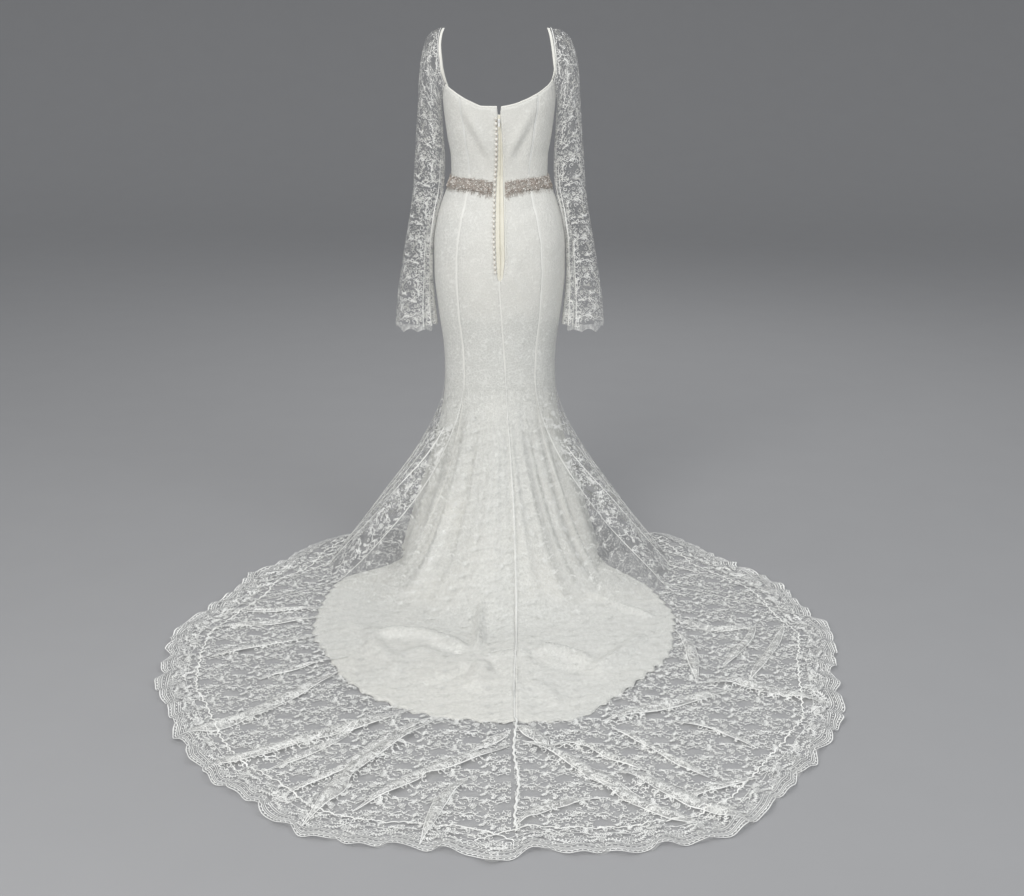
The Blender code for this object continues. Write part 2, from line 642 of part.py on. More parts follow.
def smooth_path(points, count):
    """Points spaced evenly in step along a Catmull-Rom curve."""
    made = []
    for i in range(count + 1):
        position = i / count * (len(points) - 1)
        k = min(int(position), len(points) - 2)
        t = position - k
        p = [Vector(points[min(max(k + j, 0), len(points) - 1)]) for j in (-1, 0, 1, 2)]
        made.append(0.5 * (2 * p[1] + (p[2] - p[0]) * t + (2 * p[0] - 5 * p[1] + 4 * p[2] - p[3]) * t * t
                           + (3 * p[1] - p[0] - 3 * p[2] + p[3]) * t**3))
    return made


def strap_line(count, word):
    """Middle of a strap's underside from the back corner over to the front."""
    shaped = []
    for x, y, height in STRAP_PATH:
        foot = 1.0 - smooth_step((height - STRAP_PATH[0][2]) / 0.060)
        x -= STRAP_LEANS[word] * smooth_step((height - 1.330) / 0.110)
        shaped.append((x, y, height + STRAP_FEET[word] * foot))
    back = smooth_path(shaped, count)
    front = []
    for p in reversed(back[:-1]):
        rise = p.z - back[0].z
        out = STRAP_SPREAD * smooth_step(rise / 0.045) * min(p.y / 0.059, 1.0)
        drop = STRAP_FRONT_DROP * (1.0 - smooth_step(rise / 0.060))
        front.append(Vector((p.x + out, -p.y, p.z - drop)))
    return back + front


def strap_section(line, i):
    """Directions across a strap and out of it: its feet turn onto the body."""
    along = line[min(i + 1, len(line) - 1)] - line[max(i - 1, 0)]
    foot = 1.0 - smooth_step(min(i, len(line) - 1 - i) / 3.0)
    side = 1.0 if line[i].y >= 0.0 else -1.0
    across = Vector((1.0 - 0.45 * foot, -0.75 * foot * side, 0.0))
    across -= across.project(along)
    across.normalize()
    return across, along.cross(across).normalized()


def strap(word, side):
    line = strap_line(8, word)

    def place(across, row, inner):
        width_way, out = strap_section(line, round(row))
        made = line[round(row)] + (1.0 - inner) * STRAP_WALL * out + (across - 0.5) * STRAP_WIDTH * width_way
        return world(side * made.x, made.y, made.z)

    return map_panel(f"strap_{word}", flat_panel(1, len(line) - 1, 0), place, ("binding", BRIGHT_IVORY))


def edge_angles(start, end):
    """The angles of the gores' columns along the neckline between two angles."""
    angles = []
    for _, low, high, columns, _ in sorted(GORES, key=lambda gore: gore[1]):
        for k in range(columns + 1):
            angle = low + (high - low) * k / columns
            if start - 0.01 < angle < end + 0.01:
                angles.append(gore_angle(k / columns, low, high, 1.272, ring_radius(angle, 1.272)))
    return [a for a, b in zip(angles, angles[1:] + [1e9]) if b - a > 1.0]


def binding(name, start, end):
    """A rolled edge on the neckline, above the gores between two angles."""
    angles = edge_angles(start, end)

    def place(across, row, inner):
        angle = between(angles, across * (len(angles) - 1))
        height = body_top(angle) - BINDING_HEIGHT * row
        return body_point(angle, height, 0.0004 - inner * BINDING_WALL)

    return map_panel(name, flat_panel(len(angles) - 1, 1, 0), place, ("binding", BRIGHT_IVORY))


def armhole_line(word):
    """The armhole as (angle, point): up the strap's outer edge, under the arm."""
    side = 1.0 if word == "left" else -1.0
    off = Vector((0.5 * STRAP_WIDTH + SEAM_GAP + LACE_WALL, 0.0, 0.0))
    over = [p + off for p in strap_line(12, word)]
    over = [Vector((p.x, p.y, p.z + STRAP_WALL)) for p in over]
    under = []
    for i in range(1, 12):
        angle = 112.0 - 44.0 * i / 12.0
        height = body_top(side * angle) - BINDING_HEIGHT
        r = ring_radius(angle, height) + 0.0022
        under.append(Vector((r * math.sin(math.radians(angle)), r * math.cos(math.radians(angle)), height)))
    return over + under


def sleeve_ring(row, angle):
    """A point of an elliptical sleeve ring: 0 outermost, 90 at the back."""
    def column(k):
        return between([ring[k] for ring in SLEEVE_RINGS], row)

    turn = math.radians(angle)
    middle = Vector(((column(0) + column(2)) / 2, 0.0, (column(1) + column(3)) / 2))
    half = Vector(((column(0) - column(2)) / 2, 0.0, (column(1) - column(3)) / 2))
    return middle + math.cos(turn) * half + Vector((0.0, math.sin(turn) * column(4), 0.0))


def sleeve(word, side):
    columns, rows = 18, len(SLEEVE_RINGS) - 1
    first = SLEEVE_RINGS[0]
    middle_height, half_height = (first[1] + first[3]) / 2, (first[1] - first[3]) / 2
    edge = []
    for p in armhole_line(word):
        turn = math.degrees(math.atan2(p.y / first[4], (p.z - middle_height) / half_height)) % 360.0
        edge.append((turn, p))
    edge.sort(key=lambda item: item[0])
    edge = [(edge[-1][0] - 360.0, edge[-1][1])] + edge + [(edge[0][0] + 360.0, edge[0][1])]

    def armhole(angle):
        for (a, p), (b, q) in zip(edge, edge[1:]):
            if a <= angle <= b:
                return p.lerp(q, (angle - a) / (b - a) if b > a else 0.0)
        return edge[-1][1]

    def surface(angle, row):
        angle %= 360.0
        row = min(max(row, 0.0), rows)
        share = between([ring[5] for ring in SLEEVE_RINGS], row)
        point = sleeve_ring(row, angle) + share * (armhole(angle) - sleeve_ring(0, angle))
        return point

    def place(vert):
        angle = math.degrees(math.atan2(vert.co.y, vert.co.x)) % 360.0
        inner = 1.0 if math.hypot(vert.co.x, vert.co.y) < 1.5 else 0.0
        row = vert.co.z
        around = surface(angle + 4.0, row) - surface(angle - 4.0, row)
        down = surface(angle, min(row + 0.3, rows)) - surface(angle, max(row - 0.3, 0.0))
        normal = around.cross(down).normalized()
        point = surface(angle, row)
        centre = sleeve_ring(row, 0.0).lerp(sleeve_ring(row, 180.0), 0.5)
        if normal.dot(point - centre) < 0.0:
            normal.negate()
        point = point - inner * LACE_WALL * normal
        if row > rows - 0.5:
            point.z += 0.012 * abs(math.cos(math.radians(angle) * CUFF_SCALLOPS / 2)) - 0.006
        return world(side * point.x, point.y, point.z)

    bm = flat_tube(columns, rows)
    for vert, point in [(v, place(v)) for v in bm.verts]:
        vert.co = point
    return finish_object(f"sleeve_{word}", bm, ("lace", LACE_IVORY))


def belt():
    """The beaded belt, from beyond the buttons round to beyond their loops."""
    heights = [1.085, 1.0625, 1.040]
    radius = ring_radius(0.0, 1.0625)
    first = math.degrees((zip_edge(1.0625, 1.0) + BUTTON_SET_BACK + BUTTON_RADIUS + 0.0006) / radius)
    last = 360.0 - math.degrees((zip_edge(1.0625, -1.0) + 0.0044) / radius)
    angles = [first] + [a for a in edge_angles(0.0, 360.0) if first + 2.0 < a < last - 2.0] + [last]

    def place(across, row, inner):
        angle = between(angles, across * (len(angles) - 1))
        height = between(heights, row)
        out = BELT_CLEARANCE
        if inner < 0.5:
            out += BELT_WALL + 0.0006 * math.sin(angle * 1.9)
            height -= (row - 1.0) * (0.0015 + 0.0025 * math.sin(angle * 2.7) + 0.0015 * math.sin(angle * 1.3))
        return body_point(angle, height, out)

    return map_panel("belt", flat_panel(len(angles) - 1, 2, 0), place, ("beaded trim", CHAMPAGNE))


def on_rows(height, column):
    """Reads the zip's opening at a height, straight between two rows of the gores."""
    for above, below in zip(BODY_HEIGHTS, BODY_HEIGHTS[1:]):
        if below <= height <= above:
            share = (above - height) / (above - below)
            high, low = (look_up(ZIP_OPENING, h, column) for h in (above, below))
            return high + (low - high) * share
    return look_up(ZIP_OPENING, height, column)


def zip_tape(name, side):
    heights = [ZIP_TOP_HEIGHT, 1.236, 1.208]
    heights += [h for h in BODY_HEIGHTS if ZIP_END_HEIGHT < h < ZIP_TOP_HEIGHT]
    heights.append(ZIP_END_HEIGHT)

    def place(across, row, inner):
        height = between(heights, row)
        outer = on_rows(height, 1) - SEAM_GAP
        x = side * on_rows(height, 2) + 0.5 * SEAM_GAP + (outer - 0.5 * SEAM_GAP) * across
        angle = side * math.degrees(x / ring_radius(0.0, height))
        return body_point(angle, height, -0.0004 - inner * TAPE_WALL)

    return map_panel(name, flat_panel(1, len(heights) - 1, 0), place, ("zip tape", BRIGHT_IVORY))


def loop_strip():
    """The strip that carries the button loops, on the right edge of the opening."""
    heights = [h for h in BODY_HEIGHTS if 0.85 < h < 1.2]

    def place(across, row, inner):
        height = between(heights, row)
        x = zip_edge(height, -1.0) + 0.0012 + 0.0026 * across
        angle = -math.degrees(x / ring_radius(0.0, height))
        return body_point(angle, height, 0.0004 + (1.0 - inner) * 0.0010)

    flat = flat_panel(1, len(heights) - 1, 0)
    return map_panel("button_loop_strip", flat, place, ("binding", BRIGHT_IVORY))


def surface_frame(angle, height, out):
    """A frame on the body: X across, Y up the cloth, Z along its normal."""
    point = body_point(angle, height, out)
    normal = (body_point(angle, height, 0.01) - body_point(angle, height)).normalized()
    across = Vector((0.0, 0.0, 1.0)).cross(normal).normalized()
    up = normal.cross(across)
    frame = Matrix((across, up, normal)).transposed().to_4x4()
    frame.translation = point
    return frame


def button(number):
    """A covered dome button beside the zip."""
    share = number / (BUTTON_COUNT - 1)
    height = 1.238 + (0.832 - 1.238) * share
    x = zip_edge(height, 1.0) + BUTTON_SET_BACK
    angle = math.degrees(x / ring_radius(0.0, height))
    bm = bmesh.new()
    bmesh.ops.create_uvsphere(bm, u_segments=8, v_segments=4, radius=1.0)
    bmesh.ops.scale(bm, verts=bm.verts, vec=(BUTTON_RADIUS, BUTTON_RADIUS, 0.5 * BUTTON_RISE))
    bmesh.ops.translate(bm, verts=bm.verts, vec=(0.0, 0.0, 0.5 * BUTTON_RISE))
    bm.transform(surface_frame(angle, height, 0.0009))
    return finish_object(f"button_{number + 1:02d}", bm, ("covered button", BRIGHT_IVORY))


def box_mesh(size, centre):
    bm = bmesh.new()
    bmesh.ops.create_cube(bm, size=1.0)
    bmesh.ops.scale(bm, verts=bm.verts, vec=size)
    bmesh.ops.translate(bm, verts=bm.verts, vec=centre)
    return bm


def slider():
    """The zip's slider, with the bridge that holds the pull tab."""
    frame = surface_frame(0.0, SLIDER_HEIGHT, 0.0)
    top = SLIDER_SIZE[2]
    bm = box_mesh(SLIDER_SIZE, (0.0, 0.0, 0.5 * top))
    bmesh.ops.bevel(bm, geom=[e for e in bm.edges if e.calc_length() < 0.0031], offset=0.0015,
                    offset_type="OFFSET", segments=2, profile=0.5, affect="EDGES", material=-1)
    bm.transform(frame)
    body = finish_object("zip_slider", bm, ("zip slider", WHITE_ENAMEL), smooth=False)
    size = (CROWN_WIDTH, CROWN_LENGTH, CROWN_RISE + 0.001)
    arch = box_mesh(size, (0.0, 0.0, top + 0.5 * (CROWN_RISE - 0.001)))
    arch.transform(frame)
    hole_rise = CROWN_RISE - CROWN_BAR
    size = (2 * CROWN_WIDTH, CROWN_LENGTH - 2 * CROWN_BAR, hole_rise)
    hole = box_mesh(size, (0.0, 0.0, top + 0.5 * hole_rise))
    hole.transform(frame)
    for name, mesh, operation in (("slider_arch", arch, "UNION"), ("slider_arch_hole", hole, "DIFFERENCE")):
        tool = finish_object(name, mesh, ("zip slider", WHITE_ENAMEL), smooth=False)
        tool.hide_render = True
        tool.display_type = "WIRE"
        modifier = body.modifiers.new(name, "BOOLEAN")
        modifier.operation = operation
        modifier.object = tool
    return frame @ Vector((0.0, 0.0, top + PULL_AXIS_RISE))


def pull_tab(pivot):
    """The pull tab, hanging straight down from the slider's bridge."""
    across = (-0.5 * PULL_WIDTH, -0.0018, 0.0018, 0.5 * PULL_WIDTH)
    down = (0.0006, -0.0006, -0.0046, -PULL_LENGTH)
    bm = bmesh.new()
    bmesh.ops.create_grid(bm, x_segments=3, y_segments=3, size=1.5)
    for vert in bm.verts:
        column, row = round(vert.co.x + 1.5), round(vert.co.y + 1.5)
        taper = 0.75 if row == 3 else 1.0
        vert.co = Vector((across[column] * taper, 0.5 * PULL_WALL, down[row]))
    middle = min(bm.faces, key=lambda f: (f.calc_center_median() - Vector((0.0, 0.0005, -0.0026))).length)
    bmesh.ops.delete(bm, geom=[middle], context="FACES_ONLY")
    made = bmesh.ops.extrude_face_region(bm, geom=bm.faces[:], use_keep_orig=True)["geom"]
    verts = [g for g in made if isinstance(g, bmesh.types.BMVert)]
    bmesh.ops.translate(bm, verts=verts, vec=(0.0, -PULL_WALL, 0.0))
    tab = finish_object("zip_pull_tab", bm, ("zip slider", WHITE_ENAMEL), smooth=False)
    hinge = bpy.data.objects.new("pull_tab_hinge", None)
    hinge.location = pivot
    bpy.context.scene.collection.objects.link(hinge)
    tab.parent = hinge
    return tab


def main():
    clear_scene()
    for name, start, end, columns, has_train in GORES:
        lining_gore(name, start, end, columns, has_train)
        lace_gore(f"lace_{name}", start, end, 2 * columns, has_train)
    for side, word in ((1.0, "left"), (-1.0, "right")):
        sleeve(word, side)
        strap(word, side)
        zip_tape(f"zip_tape_{word}", side)
    binding("neck_binding_back_left", 0.0, 69.0)
    binding("neck_binding_back_right", 291.0, 360.0)
    binding("neck_binding_front", 112.5, 247.5)
    belt()
    loop_strip()
    for number in range(BUTTON_COUNT):
        button(number)
    pull_tab(slider())


main()
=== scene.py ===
import math

import bmesh
import bpy
import numpy as np
from mathutils import Matrix, Vector


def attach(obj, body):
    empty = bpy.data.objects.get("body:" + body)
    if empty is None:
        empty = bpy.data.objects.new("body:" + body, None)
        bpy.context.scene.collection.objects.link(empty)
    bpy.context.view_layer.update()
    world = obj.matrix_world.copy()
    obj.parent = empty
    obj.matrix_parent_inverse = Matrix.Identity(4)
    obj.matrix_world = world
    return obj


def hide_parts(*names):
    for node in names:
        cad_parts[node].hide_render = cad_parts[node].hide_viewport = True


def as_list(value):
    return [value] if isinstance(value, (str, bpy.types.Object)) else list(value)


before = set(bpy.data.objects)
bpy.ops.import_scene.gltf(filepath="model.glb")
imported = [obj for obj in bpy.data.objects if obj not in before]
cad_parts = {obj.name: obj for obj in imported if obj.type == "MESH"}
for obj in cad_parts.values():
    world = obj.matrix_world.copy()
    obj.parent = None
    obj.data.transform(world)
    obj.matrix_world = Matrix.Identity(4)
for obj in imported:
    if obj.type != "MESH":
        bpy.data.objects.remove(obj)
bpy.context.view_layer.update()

# sizes shared by all the cloth, in metres; heights are above the floor
gown = {
    "shoulder": 1.4615, "knee": 0.500, "liningWall": 0.0020, "laceWall": 0.0006,
    "kneeClearance": 0.0006, "trainClearance": 0.0012, "settle": 0.090, "seamSwing": 13.5,
    "seamGap": 0.0003, "fallRows": 5.0, "liningRows": 3.0, "laceRows": 9.0, "bindingHeight": 0.0055,
    "ruffle": 0.0055,
}
bodyRings = [
    # height, halfWidth, backDepth, frontDepth, squareness
    (1.340, 0.1480, 0.1010, 0.0980, 3.2), (1.285, 0.1500, 0.1040, 0.1120, 3.1), (1.235, 0.1460, 0.1030, 0.1260, 2.7),
    (1.180, 0.1390, 0.0980, 0.1190, 2.4), (1.131, 0.1310, 0.0900, 0.1020, 2.3), (1.085, 0.1300, 0.0860, 0.0950, 2.2),
    (1.045, 0.1430, 0.0920, 0.0990, 2.2), (1.010, 0.1570, 0.1010, 0.1050, 2.2), (0.960, 0.1715, 0.1140, 0.1100, 2.2),
    (0.892, 0.1800, 0.1260, 0.1110, 2.2), (0.820, 0.1800, 0.1300, 0.1080, 2.2), (0.713, 0.1700, 0.1240, 0.1030, 2.2),
    (0.601, 0.1560, 0.1140, 0.1010, 2.1), (0.545, 0.1535, 0.1130, 0.1020, 2.1), (0.500, 0.1550, 0.1150, 0.1040, 2.1),
    (0.440, 0.1600, 0.1200, 0.1100, 2.1),
]
topEdge = [
    # angle, heightLeft, heightRight
    (0.0, 1.2700, 1.2683), (12.0, 1.2700, 1.2720), (24.0, 1.2705, 1.2779), (30.0, 1.2752, 1.2830),
    (36.0, 1.2814, 1.2885), (42.0, 1.2882, 1.2955), (48.0, 1.2965, 1.3032), (58.5, 1.3121, 1.3198),
    (69.0, 1.3225, 1.3330), (79.5, 1.3010, 1.3080), (90.0, 1.2900, 1.2930), (101.3, 1.2980, 1.3050),
    (112.5, 1.3090, 1.3195), (123.8, 1.2890, 1.2960), (135.0, 1.2640, 1.2670), (158.0, 1.2400, 1.2400),
    (180.0, 1.2300, 1.2300),
]
zipOpening = [
    # height, halfWidth, centreX
    (1.300, 0.0058, 0.0), (1.272, 0.0055, 0.0), (1.249, 0.0034, 0.0), (1.236, 0.0038, 0.0), (1.208, 0.0046, -0.0016),
    (1.180, 0.0056, -0.0030), (1.145, 0.0066, -0.0032), (1.115, 0.0074, -0.0028), (1.065, 0.0090, -0.0016),
    (0.980, 0.0115, -0.0014), (0.920, 0.0122, -0.0018), (0.870, 0.0116, -0.0032), (0.840, 0.0092, -0.0026),
    (0.823, 0.0074, -0.0022), (0.8145, 0.0058, -0.0020), (0.8125, 0.00015, 0.0), (0.000, 0.00015, 0.0),
]
liningPlan = [
    # angle, touchRadius, hemRadiusLeft, hemRadiusRight
    (0.0, 0.600, 1.092, 1.092), (8.0, 0.590, 1.070, 1.095), (15.0, 0.560, 1.026, 1.018), (22.0, 0.520, 0.955, 0.935),
    (30.0, 0.470, 0.852, 0.850), (36.0, 0.430, 0.796, 0.760), (42.0, 0.395, 0.718, 0.690), (48.0, 0.365, 0.640, 0.590),
    (54.0, 0.338, 0.574, 0.500), (60.0, 0.315, 0.505, 0.390), (66.0, 0.296, 0.330, 0.315), (76.0, 0.282, 0.288, 0.288),
    (90.0, 0.274, 0.279, 0.279), (120.0, 0.270, 0.274, 0.274), (150.0, 0.274, 0.278, 0.278),
    (180.0, 0.278, 0.282, 0.282),
]
lacePlan = [
    # angle, touchRadius, hemRadiusLeft, hemRadiusRight
    (0.0, 0.620, 1.640, 1.640), (3.0, 0.619, 1.600, 1.605), (8.0, 0.614, 1.600, 1.620), (15.0, 0.600, 1.575, 1.620),
    (20.0, 0.592, 1.495, 1.560), (25.0, 0.584, 1.445, 1.480), (30.0, 0.575, 1.370, 1.400), (35.0, 0.566, 1.285, 1.340),
    (40.0, 0.558, 1.230, 1.235), (45.0, 0.550, 1.145, 1.150), (50.0, 0.542, 1.075, 1.090), (55.0, 0.534, 0.995, 1.035),
    (60.0, 0.526, 0.880, 0.930), (66.0, 0.516, 0.785, 0.860), (72.0, 0.505, 0.735, 0.775), (80.0, 0.488, 0.620, 0.650),
    (88.0, 0.468, 0.575, 0.585), (98.0, 0.440, 0.500, 0.530), (110.0, 0.405, 0.425, 0.435),
    (130.0, 0.365, 0.378, 0.378), (155.0, 0.340, 0.350, 0.350), (180.0, 0.335, 0.344, 0.344),
]
flutes = [
    # angle at the floor, depth, halfAngle
    (-66.0, 0.014, 9.0), (-41.0, 0.015, 8.0), (-21.0, 0.008, 7.0), (6.5, 0.010, 6.0), (36.0, 0.020, 9.0),
    (60.0, 0.010, 8.0), (92.0, 0.012, 11.0), (-94.0, 0.012, 11.0), (125.0, 0.010, 12.0), (-125.0, 0.010, 12.0),
    (160.0, 0.008, 12.0), (-160.0, 0.008, 12.0),
    # finer ones of the dressed cloth
    (1.5, 0.007, 3.2), (-6.5, -0.005, 3.5), (-12.5, 0.005, 3.0), (-22.0, 0.005, 3.2), (-31.0, 0.006, 3.6),
    (13.0, 0.003, 3.0), (24.5, -0.012, 3.6), (36.0, 0.010, 5.5), (46.0, -0.008, 3.5), (55.0, 0.008, 4.5),
    (67.0, 0.009, 4.0), (-52.0, 0.008, 4.0), (-73.0, 0.008, 4.5),
]
# folds on the floor: the points of a crest or, with a fall in its height, of a valley
liningFolds = [
    # points, rise, halfWidth
    ([(0.059, 0.749), (0.123, 0.670), (0.189, 0.620), (0.265, 0.612), (0.344, 0.627)], 0.014, 0.030),
    ([(0.075, 0.745), (0.120, 0.722), (0.175, 0.680)], -0.010, 0.022),
    ([(0.030, 0.756), (-0.033, 0.748), (-0.085, 0.735)], 0.009, 0.013),
    ([(-0.090, 0.700), (-0.161, 0.735), (-0.235, 0.790)], 0.014, 0.030),
    ([(-0.070, 0.705), (-0.120, 0.800), (-0.217, 0.845)], -0.009, 0.024),
    ([(0.022, 0.760), (0.003, 0.825), (-0.021, 0.874)], -0.008, 0.016),
    ([(0.040, 0.780), (0.038, 0.850), (0.060, 0.940)], 0.010, 0.038),
    ([(0.057, 0.805), (0.114, 0.878), (0.190, 0.922)], -0.006, 0.014),
    ([(-0.056, 0.838), (-0.044, 0.903), (-0.027, 0.985)], 0.007, 0.011),
    ([(0.374, 0.570), (0.353, 0.700), (0.300, 0.838)], -0.008, 0.030),
    ([(0.330, 0.560), (0.310, 0.680), (0.250, 0.790)], 0.008, 0.034),
    ([(-0.375, 0.610), (-0.300, 0.742), (-0.215, 0.850)], 0.011, 0.030),
    ([(-0.222, 0.330), (-0.316, 0.439), (-0.413, 0.519)], 0.010, 0.022),
    ([(0.043, 0.420), (0.048, 0.560), (0.052, 0.745)], 0.015, 0.016),
    ([(0.012, 0.430), (0.010, 0.560), (0.020, 0.700)], -0.005, 0.018),
    ([(-0.080, 0.880), (-0.120, 0.940), (-0.140, 1.010)], 0.007, 0.026),
    ([(0.160, 0.700), (0.240, 0.760), (0.250, 0.860)], 0.007, 0.034),
]
trainFolds = [
    # points, rise, halfWidth of the double net
    ([(0.690, 1.150), (0.560, 1.060), (0.400, 0.860)], 0.011, 0.017),
    ([(0.610, 1.300), (0.420, 1.170), (0.220, 1.040)], 0.012, 0.019),
    ([(0.740, 0.580), (0.620, 0.555), (0.480, 0.520)], 0.007, 0.011),
    ([(0.710, 0.470), (0.590, 0.468), (0.470, 0.455)], 0.007, 0.011),
    ([(0.700, 0.745), (0.590, 0.690), (0.470, 0.630)], 0.008, 0.010),
    ([(0.440, 1.410), (0.340, 1.310), (0.220, 1.130), (0.150, 1.070)], 0.008, 0.009),
    ([(0.370, 1.500), (0.330, 1.380), (0.290, 1.280), (0.150, 1.090)], 0.012, 0.018),
    ([(0.280, 1.450), (0.170, 1.330), (0.120, 1.290), (-0.010, 1.200)], 0.012, 0.017),
    ([(0.070, 1.240), (-0.020, 1.140)], 0.006, 0.008),
    ([(0.140, 1.570), (0.110, 1.420), (0.060, 1.330)], 0.009, 0.012),
    ([(-0.050, 1.110), (-0.080, 1.150), (-0.110, 1.200)], 0.010, 0.018),
    ([(-0.060, 1.170), (-0.140, 1.240), (-0.200, 1.310), (-0.280, 1.390)], 0.011, 0.016),
    ([(-0.040, 1.510), (-0.090, 1.450), (-0.190, 1.410)], 0.009, 0.013),
    ([(-0.110, 1.190), (-0.180, 1.185), (-0.240, 1.240), (-0.310, 1.290)], 0.009, 0.010),
    ([(-0.210, 1.340), (-0.300, 1.440), (-0.390, 1.500)], 0.010, 0.013),
    ([(-0.250, 1.290), (-0.350, 1.380), (-0.420, 1.445), (-0.490, 1.490)], 0.013, 0.019),
    ([(-0.380, 1.410), (-0.450, 1.365), (-0.530, 1.330)], 0.007, 0.009),
    ([(-0.240, 1.080), (-0.400, 1.000), (-0.530, 0.930)], 0.011, 0.017),
    ([(-0.490, 0.890), (-0.570, 0.890), (-0.630, 0.940), (-0.740, 0.980)], 0.012, 0.018),
    ([(-0.260, 1.110), (-0.340, 1.210), (-0.430, 1.310)], 0.008, 0.009),
    ([(-0.450, 0.600), (-0.475, 0.720), (-0.470, 0.870)], 0.008, 0.012),
    ([(-0.460, 0.530), (-0.550, 0.590), (-0.660, 0.570)], 0.008, 0.010),
    ([(-0.660, 0.560), (-0.620, 0.660), (-0.550, 0.790)], 0.007, 0.009),
    ([(-0.730, 0.560), (-0.680, 0.700), (-0.600, 0.860)], 0.007, 0.009),
    ([(0.560, 0.870), (0.470, 0.800), (0.380, 0.760)], 0.006, 0.007),
    ([(0.290, 1.060), (0.360, 1.180), (0.470, 1.290)], 0.006, 0.007),
    ([(-0.560, 1.200), (-0.480, 1.120), (-0.400, 1.080)], 0.006, 0.007),
]
sleeveRings = [
    # outerX, outerHeight, innerX, innerHeight, halfDepth, armholeShare
    (0.1590, 1.4640, 0.1550, 1.2860, 0.0640, 1.00), (0.1740, 1.4565, 0.1560, 1.2800, 0.0650, 0.55),
    (0.1895, 1.4415, 0.1565, 1.2720, 0.0650, 0.25), (0.2000, 1.4160, 0.1560, 1.2610, 0.0640, 0.10),
    (0.2080, 1.3800, 0.1545, 1.2460, 0.0620, 0.03), (0.2120, 1.3330, 0.1530, 1.2270, 0.0590, 0.00),
    (0.2150, 1.2700, 0.1510, 1.1980, 0.0560, 0.00), (0.2240, 1.1700, 0.1480, 1.1300, 0.0530, 0.00),
    (0.2340, 1.0600, 0.1540, 1.0500, 0.0510, 0.00), (0.2440, 0.9800, 0.1740, 0.9770, 0.0500, 0.00),
    (0.2560, 0.9050, 0.1870, 0.9030, 0.0510, 0.00), (0.2700, 0.8200, 0.1885, 0.8190, 0.0550, 0.00),
    (0.2830, 0.7500, 0.1860, 0.7490, 0.0610, 0.00), (0.2920, 0.6650, 0.1790, 0.6650, 0.0700, 0.00),
]
strapPath = [
    # x, y, height: from the back corner of the neckline to the top of the shoulder
    (0.1406, 0.0543, 1.3240), (0.1478, 0.0590, 1.3450), (0.1552, 0.0590, 1.3820), (0.1612, 0.0500, 1.4180),
    (0.1590, 0.0330, 1.4450), (0.1545, 0.0150, 1.4590), (0.1530, 0.0000, 1.4615),
]
gores = [
    # name, from, to, columns of the hem's scallops, whether it has a train
    ("front", 135.0, 225.0, 5, False), ("side_front_left", 90.0, 135.0, 4, False),
    ("side_front_right", 225.0, 270.0, 4, False), ("side_back_left", 48.0, 90.0, 4, True),
    ("side_back_right", 270.0, 312.0, 4, True), ("back_left", 0.0, 48.0, 8, True),
    ("back_right", 312.0, 360.0, 8, True),
]


# small formulas, each on whole arrays of numbers
def smoothStep(value):
    value = np.clip(value, 0.0, 1.0)
    return value * value * (3.0 - 2.0 * value)


def lookUp(table, key, column):
    rows = np.array(sorted(table), dtype=float)
    x, y = rows[:, 0], rows[:, column]
    key = np.clip(key, x[0], x[-1])
    slope = np.diff(y) / np.diff(x)
    before, after = slope[:-1], slope[1:]
    agree = before * after > 0.0
    total = np.where(agree, before + after, 1.0)
    tangent = np.concatenate((slope[:1], np.where(agree, 2.0 * before * after / total, 0.0), slope[-1:]))
    i = np.clip(np.searchsorted(x, key) - 1, 0, len(x) - 2)
    span = x[i + 1] - x[i]
    t = (key - x[i]) / span
    return ((2 * t**3 - 3 * t**2 + 1) * y[i] + (t**3 - 2 * t**2 + t) * tangent[i] * span
            + (-2 * t**3 + 3 * t**2) * y[i + 1] + (t**3 - t**2) * tangent[i + 1] * span)


def wrapped(angle):
    return (angle + 180.0) % 360.0 - 180.0


def folded(angle):
    away = wrapped(np.asarray(angle, dtype=float))
    return np.abs(away), np.where(away >= 0.0, 1.0, -1.0)


def polar(x, y):
    # angle from the centre back and distance from the gown's axis
    return np.degrees(np.arctan2(x, y)), np.hypot(x, y)


def placed(angle, radius, height):
    turn = np.radians(angle)
    return np.stack([radius * np.sin(turn), radius * np.cos(turn), height - gown["shoulder"] + 0.0 * turn], axis=-1)


def unit(vectors):
    return vectors / np.maximum(np.linalg.norm(vectors, axis=-1, keepdims=True), 1e-9)


def outward(surface, angle, along, step=0.02):
    around = surface(angle + 0.4, along) - surface(angle - 0.4, along)
    down = surface(angle, along + step) - surface(angle, along - step)
    normal = unit(np.cross(around, down))
    turn = np.radians(angle)
    way = np.stack([np.sin(turn), np.cos(turn), np.full_like(turn, 0.45)], axis=-1)
    return np.where((normal * way).sum(-1, keepdims=True) > 0.0, normal, -normal)


def readOff(at, keys, rows):
    return np.stack([np.interp(at, keys, column) for column in rows.T], axis=-1)


def smoothPath(points, count):
    made = []
    for i in range(count + 1):
        position = i / count * (len(points) - 1)
        k = min(int(position), len(points) - 2)
        t = position - k
        p = [np.array(points[min(max(k + j, 0), len(points) - 1)]) for j in (-1, 0, 1, 2)]
        made.append(0.5 * (2 * p[1] + (p[2] - p[0]) * t + (2 * p[0] - 5 * p[1] + 4 * p[2] - p[3]) * t * t
                           + (3 * p[1] - p[0] - 3 * p[2] + p[3]) * t**3))
    return made


# the worn shape
def ringRadius(angle, height):
    halfWidth, back, front, squareness = (lookUp(bodyRings, height, k) for k in (1, 2, 3, 4))
    across, along = np.sin(np.radians(angle)), np.cos(np.radians(angle))
    depth = np.where(along >= 0.0, back, front)
    return ((np.abs(across) / halfWidth) ** squareness + (np.abs(along) / depth) ** squareness) ** (-1.0 / squareness)


